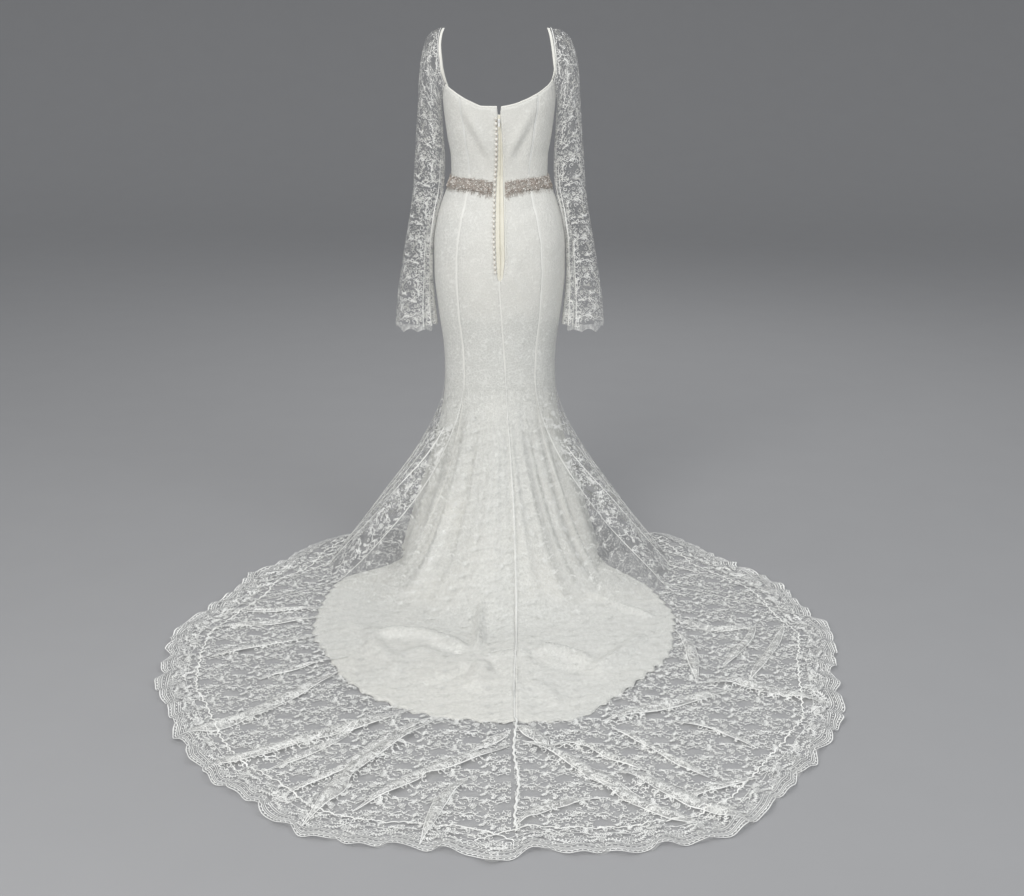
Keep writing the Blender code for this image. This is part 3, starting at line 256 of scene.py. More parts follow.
# soft drag lines of the filled cloth: a ridge or dip along a line on the body
dragLines = [
    # angle0, height0, angle1, height1, rise, halfWidth in metres
    (44.0, 1.270, 16.0, 1.150, 0.0022, 0.016), (52.0, 1.245, 26.0, 1.120, -0.0018, 0.014),
    (-44.0, 1.268, -18.0, 1.160, 0.0022, 0.016), (-50.0, 1.240, -27.0, 1.125, -0.0018, 0.014),
    (36.0, 1.225, 12.0, 1.118, 0.0014, 0.012), (-37.0, 1.222, -13.0, 1.128, 0.0015, 0.012),
    (60.0, 1.020, 30.0, 0.985, -0.0012, 0.014), (-60.0, 1.020, -28.0, 0.990, -0.0012, 0.014),
    (-16.0, 0.830, -42.0, 0.700, 0.0016, 0.018), (20.0, 0.800, 46.0, 0.690, 0.0014, 0.018),
    (-10.0, 0.640, -40.0, 0.560, 0.0014, 0.016), (12.0, 0.650, 38.0, 0.570, 0.0014, 0.016),
    (-30.0, 0.920, -10.0, 0.800, 0.0012, 0.016), (70.0, 0.900, 60.0, 0.700, 0.0010, 0.016),
    (-62.0, 0.880, -26.0, 0.960, 0.0009, 0.010), (-60.0, 0.800, -22.0, 0.900, 0.0010, 0.011),
    (-50.0, 0.760, -16.0, 0.860, -0.0008, 0.009), (-46.0, 0.990, -14.0, 0.940, 0.0007, 0.009),
    (26.0, 0.930, 52.0, 0.860, 0.0007, 0.010), (-30.0, 0.740, -8.0, 0.700, 0.0008, 0.010),
    (14.0, 0.560, 30.0, 0.680, 0.0008, 0.010), (-12.0, 0.590, -34.0, 0.660, 0.0008, 0.009),
    (8.0, 0.740, 34.0, 0.760, 0.0006, 0.009),
]
seamAngles = (0.0, 48.0, 90.0, 135.0, 225.0, 270.0, 312.0)
relief = {"girthRadius": 0.14, "strength": 1.7, "seamDip": 0.0004, "seamHalfWidth": 0.006}


def bodyRelief(angle, height):
    away = wrapped(angle)
    scale = math.radians(1.0) * relief["girthRadius"]
    rise = 0.0
    for a0, h0, a1, h1, depth, halfWidth in dragLines:
        dx, dy = (a1 - a0) * scale, h1 - h0
        px, py = (away - a0) * scale, height - h0
        length = math.hypot(dx, dy)
        along = (px * dx + py * dy) / length**2
        across = np.abs(px * dy - py * dx) / length
        ends = smoothStep((along + 0.15) / 0.4) * smoothStep((1.15 - along) / 0.4)
        rise = rise + relief["strength"] * depth * ends * np.exp(-((across / halfWidth) ** 2))
    for seam in seamAngles:
        off = np.abs(wrapped(angle - seam)) * scale
        rise = rise - relief["seamDip"] * np.exp(-((off / relief["seamHalfWidth"]) ** 2))
    return rise * smoothStep((height - gown["knee"]) / 0.05)


def bodySurface(angle, height):
    return placed(angle, ringRadius(angle, height) + bodyRelief(angle, height), height)


def bodyPoints(angle, height, out=0.0):
    angle, height = np.broadcast_arrays(np.asarray(angle, dtype=float), np.asarray(height, dtype=float))
    return bodySurface(angle, height) + out * outward(bodySurface, angle, height, 0.002)


def bodyTop(angle):
    away, side = folded(angle)
    return np.where(side > 0.0, lookUp(topEdge, away, 1), lookUp(topEdge, away, 2))


def zipEdge(height, side):
    # how far the left (1) or right (-1) edge of the zip's opening is from the centre back
    return lookUp(zipOpening, height, 1) + side * lookUp(zipOpening, height, 2)


def planRadii(plan, angle):
    away, side = folded(angle)
    return lookUp(plan, away, 1), np.where(side > 0.0, lookUp(plan, away, 2), lookUp(plan, away, 3))


def fluteDepth(angle):
    total = 0.0
    for centre, depth, halfAngle in flutes:
        off = np.minimum(np.abs(wrapped(angle - centre)) / halfAngle, 1.0)
        total = total + depth * (0.5 + 0.5 * np.cos(np.pi * off))
    return total


def nearestOnPath(points, x, y):
    # distance from each spot to a path, and how far along the path its nearest point is, 0 to 1
    steps = [math.dist(p, q) for p, q in zip(points, points[1:])]
    best, share, before = np.full_like(x, 9.0), np.zeros_like(x), 0.0
    for (x0, y0), (x1, y1), step in zip(points, points[1:], steps):
        along = np.clip(((x - x0) * (x1 - x0) + (y - y0) * (y1 - y0)) / step**2, 0.0, 1.0)
        off = np.hypot(x - x0 - along * (x1 - x0), y - y0 - along * (y1 - y0))
        share = np.where(off < best, (before + along * step) / sum(steps), share)
        best, before = np.minimum(best, off), before + step
    return best, share


def foldHeight(folds, x, y, widen=1.0):
    x, y = np.broadcast_arrays(np.asarray(x, dtype=float), np.asarray(y, dtype=float))
    crest, valley = np.zeros_like(x), np.zeros_like(x)
    for points, rise, halfWidth in folds:
        reach = widen * halfWidth
        near = (x > min(p[0] for p in points) - reach) & (x < max(p[0] for p in points) + reach)
        near &= (y > min(p[1] for p in points) - reach) & (y < max(p[1] for p in points) + reach)
        if not near.any():
            continue
        off, share = nearestOnPath(points, x[near], y[near])
        shape = 0.5 + 0.5 * np.cos(np.pi * np.minimum(off / reach, 1.0))
        shape = rise * shape * smoothStep((share + 0.02) / 0.25) * smoothStep((1.02 - share) / 0.25)
        crest[near], valley[near] = np.maximum(crest[near], shape), np.minimum(valley[near], shape)
    return crest, valley


def fallLine(angle):
    touch, hem = planRadii(liningPlan, angle)
    sweep = smoothStep((hem - touch) / 0.30)
    knee, wall = gown["knee"], gown["liningWall"]
    start = ringRadius(angle, knee)
    run, drop = touch - start, knee - wall
    return ((start, knee + 0.0 * start), (start + 0.08 * run, knee - 0.36 * drop + 0.0 * start),
            (touch - (0.16 + 0.32 * sweep) * run, wall + (0.20 - 0.17 * sweep) * drop), (touch, wall + 0.0 * start))


def onCurve(points, t):
    weights = ((1 - t) ** 3, 3 * t * (1 - t) ** 2, 3 * t * t * (1 - t), t**3)
    slopes = (-((1 - t) ** 2), (1 - t) * (1 - 3 * t), t * (2 - 3 * t), t * t)
    radius, height = (sum(w * p[k] for w, p in zip(weights, points)) for k in (0, 1))
    run, rise = (sum(w * p[k] for w, p in zip(slopes, points)) for k in (0, 1))
    length = np.hypot(run, rise)
    return radius, height, -rise / length, run / length


def sweptAngle(angle, row):
    away, side = folded(angle)
    return side * (away + gown["seamSwing"] * smoothStep(row / gown["fallRows"]) * np.sin(np.radians(away)))


def fluted(angle, radius, height):
    fallen = smoothStep((gown["knee"] - height) / 0.34)
    touch = planRadii(liningPlan, angle)[0]
    return radius + fluteDepth(angle) * fallen * (1.0 - smoothStep((radius - touch) / 0.25))


def liningRelief(angle, radius):
    touch = planRadii(liningPlan, angle)[0]
    x, y = radius * np.sin(np.radians(angle)), radius * np.cos(np.radians(angle))
    crest, valley = foldHeight(liningFolds, x, y)
    swell = 0.009 * np.exp(-(((x - 0.02) / 0.34) ** 2) - ((y - 0.78) / 0.17) ** 2)
    ease = 0.0009 * (np.sin(13.0 * x + 7.0 * y) + np.sin(17.0 * y - 9.0 * x + 1.0))
    return smoothStep((radius - touch + 0.14) / 0.10) * np.maximum(1.25 * crest + swell + 1.2 * valley + ease, 0.0)


def liningSurface(angle, row, notch=0.0):
    away = sweptAngle(angle, row)
    points = fallLine(away)
    radius, height = onCurve(points, np.clip(row / gown["fallRows"], 0.0, 1.0))[:2]
    hem = planRadii(liningPlan, away)[1] - notch
    beyond = np.clip((row - gown["fallRows"]) / gown["liningRows"], 0.0, 1.0)
    radius = fluted(away, np.where(beyond > 0.0, points[3][0] + (hem - points[3][0]) * beyond, radius), height)
    return placed(away, radius, height + liningRelief(away, radius))


def trainRelief(away, radius):
    liningHem = planRadii(liningPlan, away)[1]
    x, y = radius * np.sin(np.radians(away)), radius * np.cos(np.radians(away))
    own = foldHeight(trainFolds, x, y, 1.7)[0] * smoothStep((radius - liningHem + 0.06) / 0.08)
    ease = 0.0012 * (1.0 + np.sin(19.0 * x + 24.0 * y) * np.sin(27.0 * x - 16.0 * y))
    return own + ease * smoothStep((radius - liningHem - 0.02) / 0.06)


def ruffle(away, radius):
    # the hem wanders in and out and lifts a little: moves in radius and in height
    touch, hem = planRadii(lacePlan, away)
    near = smoothStep((radius - hem + 0.20) / 0.20) * smoothStep((hem - touch) / 0.20)
    wander = np.sin(0.62 * away + 0.4) + 0.8 * np.sin(1.37 * away + 2.0) + 0.5 * np.sin(3.3 * away)
    return gown["ruffle"] * near * wander * 0.8, gown["ruffle"] * near * near * (1.0 + np.sin(2.1 * away + 1.0)) * 0.8


def laceOnFloor(away, radius):
    # height of the lace above the floor where it lies on it or on the lining
    liningHem = planRadii(liningPlan, away)[1]
    over = 1.0 - smoothStep((radius - liningHem - 0.01) / gown["settle"])
    lying = gown["laceWall"] + gown["trainClearance"] + liningRelief(away, radius)
    lying = gown["liningWall"] + lying * over + (gown["laceWall"] - gown["liningWall"]) * (1.0 - over)
    return lying + trainRelief(away, radius)


def laceSurface(angle, row, notch=0.0):
    # rows below 0 lie on the body above the knee, from 5 on they lie on the floor, 14 is the hem
    away = sweptAngle(angle, np.maximum(row, 0.0))
    points = fallLine(away)
    touch, hem = planRadii(lacePlan, away)
    base, height, out, up = onCurve(points, np.clip(row / gown["fallRows"], 0.0, 1.0))
    fallen = (gown["knee"] - height) / (gown["knee"] - gown["liningWall"])
    clearance = gown["laceWall"] + gown["kneeClearance"] + (gown["trainClearance"] - gown["kneeClearance"]) * fallen
    radius = base + clearance * out + (touch - points[3][0]) * fallen**1.5
    past = np.clip((row - gown["fallRows"]) / gown["laceRows"], 0.0, 1.0)
    radius = fluted(away, radius + (hem - notch - radius) * past, height)
    liningHem = planRadii(liningPlan, away)[1]
    over = 1.0 - smoothStep((radius - liningHem - 0.01) / gown["settle"])
    raised = (clearance * up + liningRelief(away, radius)) * over
    raised = raised + (gown["laceWall"] - gown["liningWall"]) * (1.0 - over)
    wander, lift = ruffle(away, radius)
    onSkirt = placed(away, radius + wander, height + raised + trainRelief(away, radius) + lift)
    height = np.maximum(gown["knee"] - 0.03 * row, gown["knee"])
    reach = ringRadius(angle, height) + gown["kneeClearance"] + gown["laceWall"]
    return np.where((row < 0.0)[..., None], placed(angle, reach, height), onSkirt)


# the centre back seam wanders to the right on its way down
backDrift = [
    # row, degrees; rows below 0 are tenths of a metre above the knee, from 0 on the rows of the skirt
    (-3.0, 0.0), (-2.0, -2.8), (-1.0, -6.5), (-0.6, -7.6), (0.0, -9.0), (1.0, -9.2), (2.0, -8.0), (3.0, -6.1),
    (4.0, -4.5), (5.0, -3.4), (8.0, -1.9), (14.0, -1.3),
]


def drift(row):
    return lookUp(backDrift, row, 1)


def laceDrift(row):
    return drift(np.where(row < 0.0, 0.3 * row, row))


def seamShift(across, start, end, height, radius, row):
    # the angle at a share of the way across a gore, with the gaps at its two seams
    def gap(seam, side):
        return zipEdge(height, side) if seam % 360.0 == 0.0 else 0.5 * gown["seamGap"] + 0.0 * radius

    low = start + np.degrees(gap(start, 1.0) / radius) + (drift(row) if start == 0.0 else 0.0)
    high = end - np.degrees(gap(end, -1.0) / radius) + (drift(row) if end == 360.0 else 0.0)
    return low + (high - low) * across


# materials
class Wire:
    # a socket of a material, with maths on it
    def __init__(self, finish, socket):
        self.finish = finish
        self.socket = socket

    def both(self, operation, first, second):
        return self.finish.node("ShaderNodeMath", {"operation": operation}, {0: first, 1: second})

    def __add__(self, other):
        return self.both("ADD", self, other)

    def __radd__(self, other):
        return self.both("ADD", other, self)

    def __mul__(self, other):
        return self.both("MULTIPLY", self, other)

    def __rmul__(self, other):
        return self.both("MULTIPLY", other, self)


class Finish:
    # a material or the studio's world: its shader's sockets are set once, its nodes come from node()
    def __init__(self, name, family="materials", shader="Principled BSDF", **sockets):
        self.material = getattr(bpy.data, family).new(name)
        self.material.use_nodes = True
        self.tree = self.material.node_tree
        self.shader = self.tree.nodes[shader]
        for socket, value in sockets.items():
            self.shader.inputs[socket.replace("_", " ")].default_value = value

    def node(self, kind, settings=None, inputs=None, output=0):
        made = self.tree.nodes.new(kind)
        for key, value in (settings or {}).items():
            if key == "stops":
                for k, (place, colour) in enumerate(value):
                    stop = made.color_ramp.elements[k] if k < 2 else made.color_ramp.elements.new(place)
                    stop.position, stop.color = place, colour
            else:
                setattr(made, key, value)
        for key, value in (inputs or {}).items():
            if isinstance(value, Wire):
                self.tree.links.new(value.socket, made.inputs[key])
            else:
                made.inputs[key].default_value = value
        return Wire(self, made.outputs[output])

    def place(self, kind="UV", scale=(1.0, 1.0, 1.0)):
        start = self.node("ShaderNodeTexCoord", output={"UV": 2, "Object": 3}[kind])
        return self.node("ShaderNodeMapping", {}, {"Vector": start, "Scale": scale})

    def noise(self, where, scale, detail=2.0, roughness=0.5):
        return self.node("ShaderNodeTexNoise", {}, {
            "Vector": where, "Scale": scale, "Detail": detail, "Roughness": roughness})

    def cells(self, where, scale, feature="F1"):
        return self.node("ShaderNodeTexVoronoi", {"feature": feature}, {"Vector": where, "Scale": scale})

    def between(self, wire, low, high, lowOut=0.0, highOut=1.0):
        return self.node("ShaderNodeMapRange", {"clamp": True, "interpolation_type": "SMOOTHSTEP"},
                         {0: wire, 1: low, 2: high, 3: lowOut, 4: highOut})

    def tint(self, share, low, high):
        colours = {0: share, 6: (*low, 1.0), 7: (*high, 1.0)}
        return self.node("ShaderNodeMix", {"data_type": "RGBA"}, colours, output=2)

    def bump(self, height, strength, distance):
        return self.node("ShaderNodeBump", {}, {"Height": height, "Strength": strength, "Distance": distance})

    def feed(self, **sockets):
        for socket, wire in sockets.items():
            self.tree.links.new(wire.socket, self.shader.inputs[socket.replace("_", " ")])
        return self.material


satinLook = {"dark": (0.60, 0.60, 0.565), "pale": (0.80, 0.80, 0.765), "warm": (0.76, 0.745, 0.69), "threads": 210.0}


def satinFinish():
    finish = Finish("ivory satin with lace on it", Roughness=0.62, Sheen_Weight=0.15, Sheen_Roughness=0.5)
    where = finish.place("UV")
    # mounted lace: petals and scrolls as cell borders bent by a slow noise, over a fine net
    swirl = finish.node("ShaderNodeTexNoise", {}, {"Vector": where, "Scale": 38.0, "Detail": 2.0}, output=1)
    bend = finish.node("ShaderNodeVectorMath", {"operation": "SCALE"}, {0: swirl, "Scale": 0.018})
    bent = finish.node("ShaderNodeVectorMath", {"operation": "ADD"}, {0: where, 1: bend})
    vines = finish.between(finish.cells(bent, 125.0, "DISTANCE_TO_EDGE"), 0.02, 0.13, 1.0, 0.0)
    petals = finish.between(finish.cells(bent, 78.0), 0.18, 0.42, 1.0, 0.0)
    threads = finish.noise(where, satinLook["threads"] * 3.0, 3.0, 0.7)
    lace = finish.between(vines * 0.65 + petals * 0.5, 0.0, 1.0)
    slow = finish.noise(finish.place("Object"), 3.1, 2.0)
    shade = finish.between(lace * 0.34 + threads * 0.75, 0.20, 0.85)
    colour = finish.node("ShaderNodeMix", {"data_type": "RGBA"}, {
        0: finish.between(slow, 0.42, 0.68, 0.0, 0.55), 6: finish.tint(shade, satinLook["dark"], satinLook["pale"]),
        7: (*satinLook["warm"], 1.0)}, output=2)
    # slanting creases of the dressed cloth under the pattern
    creases = finish.noise(finish.place("UV", (22.0, 9.0, 1.0)), 1.0, 3.0, 0.55)
    height = lace * 0.7 + threads * 0.5 + creases * 5.5
    return finish.feed(Base_Color=colour, Roughness=finish.between(lace, 0.0, 1.0, 0.58, 0.74),
                       Normal=finish.bump(height, 0.55, 0.0012))


threadLook = {"dark": (0.72, 0.72, 0.69), "pale": (0.88, 0.88, 0.855)}


def threadFinish(name="lace threads", dark=threadLook["dark"], pale=threadLook["pale"], roughness=0.7):
    finish = Finish(name, Roughness=roughness, Sheen_Weight=0.1)
    where = finish.place("Object")
    twist = finish.noise(where, 900.0, 2.0, 0.6)
    patch = finish.noise(where, 26.0, 2.0)
    shade = finish.between(twist * 0.55 + patch * 0.6, 0.35, 0.8)
    return finish.feed(Base_Color=finish.tint(shade, dark, pale), Normal=finish.bump(twist, 0.5, 0.0006))


netLook = {"cell": 520.0}


def netFinish(name, thin, thick, colour=(0.78, 0.78, 0.745), fadeIn=0.0):
    finish = Finish(name, Roughness=0.85)
    where = finish.place("UV")
    mesh = finish.between(finish.cells(where, netLook["cell"], "DISTANCE_TO_EDGE"), 0.04, 0.20, 1.0, 0.0)
    patch = finish.noise(where, 34.0, 3.0, 0.6)
    alpha = finish.between(patch, 0.38, 0.66, thin, thick) * (0.55 + mesh * 0.9)
    if fadeIn:
        down = finish.node("ShaderNodeSeparateXYZ", {}, {0: where}, output=1)
        alpha = alpha * finish.between(down, 0.01, fadeIn)
    shade = finish.between(patch, 0.3, 0.7)
    low = tuple(0.85 * c for c in colour)
    return finish.feed(Base_Color=finish.tint(shade, low, colour), Alpha=alpha)


def ivoryTrim(name, dark, pale, grain=700.0, strength=0.5, **sockets):
    finish = Finish(name, **sockets)
    where = finish.place("Object")
    weave = finish.noise(where, grain, 2.0, 0.6)
    slow = finish.noise(where, 24.0, 2.0)
    shade = finish.between(weave * 0.6 + slow * 0.5, 0.3, 0.8)
    return finish.feed(Base_Color=finish.tint(shade, dark, pale), Normal=finish.bump(weave, strength, 0.0006))


satin = satinFinish()
threads = threadFinish()
boldThreads = threadFinish("bright lace threads", (0.78, 0.775, 0.74), (0.91, 0.91, 0.88))
skirtThreads = threadFinish("lace threads of the skirt", (0.68, 0.68, 0.65), (0.80, 0.80, 0.77))
softSeam = threadFinish("soft seam", (0.68, 0.68, 0.645), (0.78, 0.78, 0.75))
net = netFinish("lace net", 0.03, 0.12)
skirtNet = netFinish("lace net of the skirt", 0.07, 0.20, fadeIn=0.11)
doubledNet = netFinish("doubled lace net", 0.22, 0.52, (0.82, 0.82, 0.79))
cord = ivoryTrim("ivory cord", (0.76, 0.75, 0.69), (0.88, 0.87, 0.81), Roughness=0.55)
seamCloth = ivoryTrim("pale seam", (0.76, 0.755, 0.71), (0.84, 0.835, 0.79), 500.0, 0.3, Roughness=0.65)
tape = ivoryTrim("cream tape", (0.72, 0.69, 0.58), (0.84, 0.81, 0.70), 1100.0, Roughness=0.6)
buttonCloth = ivoryTrim("covered button cloth", (0.68, 0.65, 0.58), (0.84, 0.82, 0.755), 1300.0, Roughness=0.5,
                        Sheen_Weight=0.2)
# brown painted shade between the covered buttons: small dark lumps set in the gaps between the domes
buttonGapShade = ivoryTrim("brown button thread", (0.44, 0.36, 0.28), (0.62, 0.54, 0.45), 900.0, Roughness=0.7)
enamel = ivoryTrim("white enamel", (0.82, 0.82, 0.80), (0.88, 0.88, 0.86), 300.0, 0.05, Roughness=0.25,
                   Coat_Weight=0.4)
beltCloth = netFinish("champagne net", 0.35, 0.90, (0.44, 0.385, 0.34))
champagne = ivoryTrim("champagne thread", (0.23, 0.19, 0.16), (0.56, 0.51, 0.46), 420.0, 0.8, Roughness=0.45)
beadDark = ivoryTrim("champagne beads", (0.28, 0.23, 0.19), (0.60, 0.54, 0.485), 160.0, 0.2, Roughness=0.22,
                     Metallic=0.35)
beadPale = ivoryTrim("pearl beads", (0.74, 0.71, 0.66), (0.92, 0.90, 0.86), 160.0, 0.1, Roughness=0.2,
                     Coat_Weight=0.5)
print("materials made")


# meshes: a flat piece from bmesh operators is moved onto its surface
def gridPiece(columns, rows, refine=()):
    # x from 0 to 1 across, y the row; each (row, cuts) splits the columns finer from that row on
    bm = bmesh.new()
    bmesh.ops.create_grid(bm, x_segments=columns, y_segments=rows, size=1.0)
    for vert in bm.verts:
        vert.co.x, vert.co.y = 0.5 + 0.5 * vert.co.x, rows * (0.5 + 0.5 * vert.co.y)
    for first, cuts in refine:
        level = [e for e in bm.edges if abs(e.verts[0].co.y - e.verts[1].co.y) < 0.1]
        level = [e for e in level if e.verts[0].co.y > first - 0.5]
        bmesh.ops.subdivide_edges(bm, edges=level, cuts=cuts, use_grid_fill=True)
    return bm


def flatPoints(mesh):
    flat = np.empty(len(mesh.vertices) * 3)
    mesh.vertices.foreach_get("co", flat)
    return flat.reshape(-1, 3)


def addPiece(name, bm, material, place=None, uv=None, solid=0.0, smooth=True):
    # place(x, y, z) gives the points in space, uv(x, y) the pattern's place in metres
    if isinstance(bm, bmesh.types.BMesh):
        mesh = bpy.data.meshes.new(name)
        bm.to_mesh(mesh)
        bm.free()
    else:
        mesh = bm
        mesh.name = name
    flat = flatPoints(mesh)
    if uv is not None:
        where = np.stack(uv(flat[:, 0], flat[:, 1]), axis=-1)
        corners = np.empty(len(mesh.loops), dtype=np.int32)
        mesh.loops.foreach_get("vertex_index", corners)
        layer = mesh.uv_layers.new(name="UVMap")
        layer.data.foreach_set("uv", where[corners].ravel())
    if place is not None:
        mesh.vertices.foreach_set("co", place(flat[:, 0], flat[:, 1], flat[:, 2]).ravel())
        mesh.update()
    if smooth:
        mesh.shade_smooth()
    obj = bpy.data.objects.new(name, mesh)
    obj.data.materials.append(material)
    bpy.context.scene.collection.objects.link(obj)
    if solid:
        wall = obj.modifiers.new("wall", "SOLIDIFY")
        wall.thickness, wall.offset = solid, -1.0
    return obj


def facedOut(obj):
    # turns the faces away from the gown's axis: each is seen from a point of it that lies lower
    mesh = obj.data
    points = flatPoints(mesh)
    normals = np.empty(len(mesh.vertices) * 3)
    mesh.vertices.foreach_get("normal", normals)
    axis = np.stack([0.0 * points[:, 0], 0.0 * points[:, 1], np.minimum(points[:, 2], -0.9) - 0.3], axis=-1)
    if (normals.reshape(-1, 3) * (points - axis)).sum() < 0.0:
        mesh.flip_normals()
    return obj


def weld(obj, distance, filled=False):
    # joins the edges that meet, and fills the ends of a tube
    bm = bmesh.new()
    bm.from_mesh(obj.data)
    bmesh.ops.remove_doubles(bm, verts=bm.verts, dist=distance)
    if filled:
        bmesh.ops.holes_fill(bm, edges=[e for e in bm.edges if e.is_boundary], sides=0)
    bmesh.ops.recalc_face_normals(bm, faces=bm.faces)
    bm.to_mesh(obj.data)
    bm.free()


def pieceName(start, node):
    return start + "".join(word.capitalize() for word in node.split("_"))


def wear(obj, slot, *nodes):
    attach(obj, "gown")
    if nodes:
        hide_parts(*nodes)
    return obj


# satin gores, from the neckline to the hem of the lining
satinGore = {"bodyRows": 88, "fallRows": 26, "floorRows": 30, "hemDepth": 0.013, "scallops": {8: 22, 4: 9, 5: 1}}


def satinPiece(name, start, end, columns, hasTrain):
    bodyRows, fallRows = satinGore["bodyRows"], satinGore["fallRows"]
    floorRows = satinGore["floorRows"] if hasTrain else 2
    across = round((end - start) * 0.42)
    middle = 0.5 * (start + end)
    scallops = satinGore["scallops"][columns]

    def place(x, y, z):
        angle = start + (end - start) * x
        top = bodyTop(angle) - 0.65 * gown["bindingHeight"]
        height = top + (gown["knee"] - top) * np.clip(y / bodyRows, 0.0, 1.0)
        onBody = seamShift(x, start, end, height, ringRadius(angle, height), (gown["knee"] - height) / 0.1)
        body = bodyPoints(onBody, height)
        row = np.clip((y - bodyRows) / fallRows, 0.0, 1.0) * gown["fallRows"]
        row = row + np.clip((y - bodyRows - fallRows) / floorRows, 0.0, 1.0) * gown["liningRows"]
        away = sweptAngle(angle, row)
        touch, hem = planRadii(liningPlan, away)
        uneven = 1.0 + 0.35 * np.sin(angle * 0.9) * np.sin(angle * 2.3)
        notch = satinGore["hemDepth"] * uneven * np.abs(np.cos(np.pi * x * scallops))
        notch = notch * smoothStep((hem - touch) / 0.20)
        close = seamShift(x, start, end, 0.0 * x, np.maximum(planRadii(liningPlan, away)[0], 0.16), row)
        skirt = liningSurface(close, row, notch * smoothStep(row - 7.0))
        return np.where((y <= bodyRows)[:, None], body, skirt)

    def uv(x, y):
        points = place(x, y, 0.0 * x)
        away, reach = polar(points[:, 0], points[:, 1])
        off = wrapped(away - middle)
        down = np.where(y <= bodyRows, -points[:, 2], 0.95 + (y - bodyRows) / fallRows * 0.58)
        return np.radians(off) * reach, down

    refine = [(bodyRows + 1, 3), (bodyRows + fallRows + floorRows - 4, 1)] if hasTrain else [(bodyRows + 1, 1)]
    bm = gridPiece(across, bodyRows + fallRows + floorRows, refine)
    obj = addPiece(pieceName("satin", name), bm, satin, place, uv, gown["liningWall"])
    return wear(facedOut(obj), "satin_and_lace", name)


satinPieces = {gore[0]: satinPiece(*gore) for gore in gores}
print("satin gores made")


# the lace: motifs drawn flat, repeated, then laid on the cloth
def strip(bm, segments, place):
    for vert in bmesh.ops.create_grid(bm, x_segments=segments, y_segments=1, size=1.0)["verts"]:
        vert.co = place(0.5 + 0.5 * vert.co.x, vert.co.y)


def curvedStrip(bm, segments, line, width, lift=0.0):
    # a thread along line(t), with pointed ends
    def place(t, side):
        here, ahead, behind = line(t), line(min(t + 0.02, 1.0)), line(max(t - 0.02, 0.0))
        run = Vector((ahead[0] - behind[0], ahead[1] - behind[1])).normalized()
        half = 0.5 * width * side * (0.35 + 0.65 * min(1.0, 6.0 * t * (1.0 - t) + 0.15))
        return Vector((here[0] - run.y * half, here[1] + run.x * half, lift))

    strip(bm, segments, place)


def petal(bm, x, y, angle, length, width, lift, sides=5):
    turn = Matrix.Translation((x, y, lift)) @ Matrix.Rotation(angle, 4, "Z")
    shape = turn @ Matrix.Diagonal((0.5 * length, 0.5 * width, 1.0, 1.0)) @ Matrix.Translation((1.0, 0.0, 0.0))
    shape = shape @ Matrix.Rotation(math.pi, 4, "Z")
    bmesh.ops.create_circle(bm, cap_ends=True, segments=sides, radius=1.0, matrix=shape)


def flower(bm, x, y, turn, size, width=0.0014):
    # outlined petals round a small ring
    for k in range(6):
        angle = turn + k * math.tau / 6

        def outline(t, angle=angle):
            out, wide = size * (0.28 + 0.74 * math.sin(math.pi * t)), size * 0.30 * math.sin(math.tau * t)
            return (x + out * math.cos(angle) - wide * math.sin(angle),
                    y + out * math.sin(angle) + wide * math.cos(angle))

        curvedStrip(bm, 6, outline, width, 0.0003)
    eye = 0.2 * size
    curvedStrip(bm, 6, lambda t: (x + eye * math.cos(t * math.tau), y + eye * math.sin(t * math.tau)), width, 0.0006)


def spray(bm, x, y, turn, size, width=0.0016):
    bend = 0.9 if math.sin(turn * 7.0) > 0.0 else -0.9

    def stem(t):
        angle = turn + bend * (t - 0.5)
        return x + size * (t - 0.5) * math.cos(angle), y + size * (t - 0.5) * math.sin(angle)

    curvedStrip(bm, 6, stem, width, 0.0005)
    for k in range(5):
        t = 0.12 + 0.18 * k
        here, ahead = stem(t), stem(t + 0.05)
        run = math.atan2(ahead[1] - here[1], ahead[0] - here[0])
        for side in (-1.0, 1.0):
            petal(bm, here[0], here[1], run + side * 0.85, size * (0.27 - 0.02 * k), size * 0.10, 0.0004, 4)
    petal(bm, *stem(0.98), turn + 0.5 * bend, size * 0.2, size * 0.09, 0.0004, 4)


def curl(bm, x, y, turn, size, hand, width=0.0016):
    def line(t):
        reach, angle = size * (1.0 - 0.72 * t), turn + hand * 5.2 * t
        return x + reach * math.cos(angle), y + reach * math.sin(angle)

    curvedStrip(bm, 7, line, width, 0.0005)


def sprig(bm, x, y, turn, size, hand, width=0.0014):
    def line(t):
        angle = turn + hand * 1.6 * (t - 0.5)
        return x + size * (t - 0.5) * math.cos(angle), y + size * (t - 0.5) * math.sin(angle)

    curvedStrip(bm, 3, line, width, 0.0003)


laceTile = {
    "width": 0.168, "depth": 0.132, "flower": 0.0095,
    # the least size of each motif and how much larger it can be
    "spray": (0.024, 0.010), "curl": (0.0055, 0.0045), "sprig": (0.007, 0.007),
}


